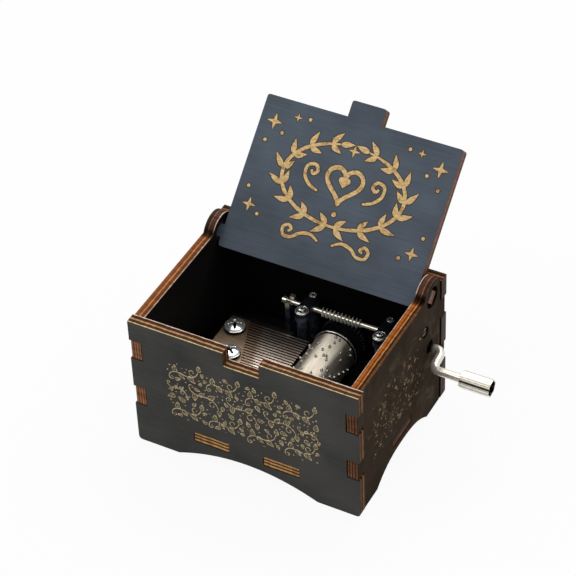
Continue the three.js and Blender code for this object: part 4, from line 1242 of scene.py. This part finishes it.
def lid_design(work, seed):
    """A wreath of two leafy branches round a heart, with swirls below and small stars in the corners."""
    pick = random.Random(seed)
    middle = (0.0, 19.8)
    wide, tall = 17.2, 10.6
    for way in (1, -1):
        branch = []
        for i in range(41):
            turn = math.radians(-100 + 176 * i / 40)
            branch.append((middle[0] + way * wide * math.cos(turn), middle[1] + tall * math.sin(turn)))
        work.line(branch, 1.05, 0.45, 0.10, pick)
        for i in range(3, 39, 5):
            u, v = branch[i]
            du, dv = branch[i + 1][0] - branch[i - 1][0], branch[i + 1][1] - branch[i - 1][1]
            heading = math.atan2(dv, du)
            for side in (1, -1):
                lean = heading + side * pick.uniform(0.72, 0.88)
                length = pick.uniform(4.1, 4.7) * (1.0 if side == -way else 0.82)
                start = (u + 0.3 * math.cos(lean), v + 0.3 * math.sin(lean))
                lid_leaf(work, start, lean, length, 1.75, -0.12 * side)
        tip = branch[-1]
        lid_leaf(work, tip, math.atan2(tip[1] - branch[-3][1], tip[0] - branch[-3][0]), 4.2, 1.8, 0)
        work.line([(way * u, v) for u, v in curve(SCROLL, 5)], 0.95, 0.6, 0.08, pick)
        for u, v, size in ((23.6, 31.0, 2.3), (23.2, 8.6, 2.0), (17.6, 33.6, 1.2)):
            star(work, (way * u, v), size)
        for u, v in ((20.6, 28.6), (24.6, 25.8), (24.9, 13.2), (20.2, 6.8), (14.2, 33.9)):
            dot(work, (way * u, v), 0.5)
        work.line([(way * u, v) for u, v in curve(SWIRL, 5)], 0.95, 0.6, 0.08, pick)
    work.line(heart_path(HEART, HEART_SIZE), 1.25, 1.0, 0.07, pick)
    tip = HEART[1] - HEART_SIZE * 17 / 16
    dot(work, (HEART[0], tip), 0.68)
    work.patch([(u, v + 0.4) for u, v in heart_path(HEART, 1.7)[:-1]])
    star(work, (0.0, 29.3), 1.7)
    dot(work, (0.0, 12.4), 0.7)


def engraved(name, bright, dull, deep, streak, char=(0.8, 0.52, 0.72), sheen=0.3):
    """Wood that the laser laid bare: pale and glossy in places, scorched in others."""
    shader = Shader(name)
    place = shader.millimetres()
    drawn = shader.vector("MULTIPLY", place, streak)
    fibres = shader.noise(drawn, 2.4, 4.0, 0.65)
    scorch = shader.noise(place, char[0], 3.0, 0.6)
    share = shader.spread(fibres, 0.36, 0.62)
    colour = shader.mix(share, dull, bright)
    colour = shader.mix(shader.spread(scorch, char[1], char[2]), colour, deep)
    normal = shader.bump(fibres, 0.6, 0.03)
    return shader.finish(
        Base_Color=colour, Roughness=0.5, Normal=normal, Specular_IOR_Level=sheen,
    )


VINE_CHAR = (1.3, 0.50, 0.62)
# on the sides the mask leaves most lines in the panel's colour and shows sparse pale specks: painted glints
# along the engraving
SIDE_GLINTS = (0.9, 0.41, 0.46)
vine_front = engraved(
    "vine_front", srgb(226, 206, 160), srgb(160, 138, 96), srgb(92, 74, 48), (0.5, 1, 1), VINE_CHAR
)
vine_side = engraved(
    "vine_side", srgb(232, 196, 148), srgb(146, 110, 74), srgb(58, 49, 41), (1, 1, 1),
    SIDE_GLINTS, sheen=0.0,
)
lid_gold = engraved(
    "lid_gold", srgb(238, 208, 150), srgb(202, 160, 98), srgb(150, 104, 56), (0.35, 1, 1)
)
lid_burnt = engraved(
    "lid_burnt", srgb(74, 52, 34), srgb(52, 38, 28), srgb(34, 28, 24), (0.5, 1, 1)
)

fields = [
    ("front_vines", at(0, -25, 0), (1, 0, 0), (0, -1, 0), (-22, 21, 13.5, 32.5), vine_front),
    ("back_vines", at(0, 25, 0), (-1, 0, 0), (0, 1, 0), (-22, 21, 13.5, 32.5), vine_front),
    ("right_vines", at(31.6, 0, 0), (0, 1, 0), (1, 0, 0), (-16.5, 10.5, 13, 30), vine_side),
    ("left_vines", at(-31.6, 0, 0), (0, -1, 0), (-1, 0, 0), (-12.5, 15.5, 13, 32), vine_side),
]
for seed, (name, origin, along, out, limits, material) in enumerate(fields):
    weight = 0.5 if material == vine_side else 0.92
    work = Engraving(name, origin, along, (0, 0, 1), out, weight=weight)
    vine_field(work, *limits, 7 + seed)
    work.finish("case", material, "stained_plywood")

lid_normal = -lid_out
pivot = at(0, PIVOT_Y, PIVOT_Z)
lid_face = max(vertex.co.dot(lid_normal) for vertex in nodes["lid"].data.vertices)
lid_origin = pivot + lid_normal * (lid_face - pivot.dot(lid_normal))
for name, grow, height, material in (
    ("lid_scorch", 0.28, 0.012, lid_burnt),
    ("lid_wreath", 0.0, 0.030, lid_gold),
):
    work = Engraving(name, lid_origin, (1, 0, 0), lid_up, lid_normal, grow, height)
    lid_design(work, 3)
    work.finish("lid", material, "lid_plywood")


# Stage
WHITE = (1.0, 1.0, 1.0, 1.0)
FLOOR_HALF = 3.0
FLOOR_LEVEL = -0.00005


def sheet(name, corners, material):
    """A flat sheet that stands round the object and isn't part of it."""
    plane = shape(name, corners, [(0, 1, 2, 3)], material)
    return plane


# The floor glows a little for the camera, so that it is as white as the background behind it.
ground = Shader("pale_floor")
glow = ground.add("ShaderNodeEmission", {"Color": WHITE, "Strength": 1.0})
matt = ground.add("ShaderNodeBsdfDiffuse", {"Color": (0.86, 0.86, 0.86, 1.0)})
lit = ground.add("ShaderNodeMixShader", {0: 0.93, 1: matt.outputs[0], 2: glow.outputs[0]})
floor_corners = [
    (u * FLOOR_HALF, v * FLOOR_HALF, FLOOR_LEVEL) for u, v in ((-1, -1), (1, -1), (1, 1), (-1, 1))
]
sheet("floor", floor_corners, ground.surface(ground.shown_directly(matt, lit)))

world = bpy.data.worlds.new("studio")
world.use_nodes = True
scene.world = world
sky = Nodes(world.node_tree)
soft = sky.add("ShaderNodeBackground", {"Color": WHITE, "Strength": 0.38})
white = sky.add("ShaderNodeBackground", {"Color": WHITE, "Strength": 1.0})
sky.add("ShaderNodeOutputWorld", {0: sky.shown_directly(soft, white).outputs[0]})

LAMP_AIM = (0, 0, 0.03)
for name, place, width, height, power in (
    ("key", (-0.55, -0.42, 0.85), 0.7, 0.7, 2.6),
    ("top", (0.0, 0.50, 0.93), 1.4, 0.6, 7.4),
    ("fill", (0.75, -0.35, 0.45), 0.4, 0.4, 0.35),
):
    lamp = bpy.data.lights.new(name, "AREA")
    lamp.shape = "RECTANGLE"
    lamp.size = width
    lamp.size_y = height
    lamp.energy = power
    in_scene(name, lamp).matrix_world = aimed(place, LAMP_AIM)

# A black card in front, which only shiny surfaces see, as a dark line along their curves
FLAG_HALF = 1.2
FLAG_PLACE = -0.8
FLAG_LOW = 0.2
FLAG_HIGH = 0.6
black = Shader("front_flag")
dark = black.add("ShaderNodeBsdfDiffuse", {"Color": (0.004, 0.004, 0.004, 1.0)})
flag_corners = [
    (side * FLAG_HALF, FLAG_PLACE, level)
    for side, level in ((-1, FLAG_LOW), (1, FLAG_LOW), (1, FLAG_HIGH), (-1, FLAG_HIGH))
]
card = sheet("front_flag", flag_corners, black.surface(dark))
card.visible_camera = False
card.visible_diffuse = False
card.visible_shadow = False
card.visible_transmission = False
card.visible_volume_scatter = False
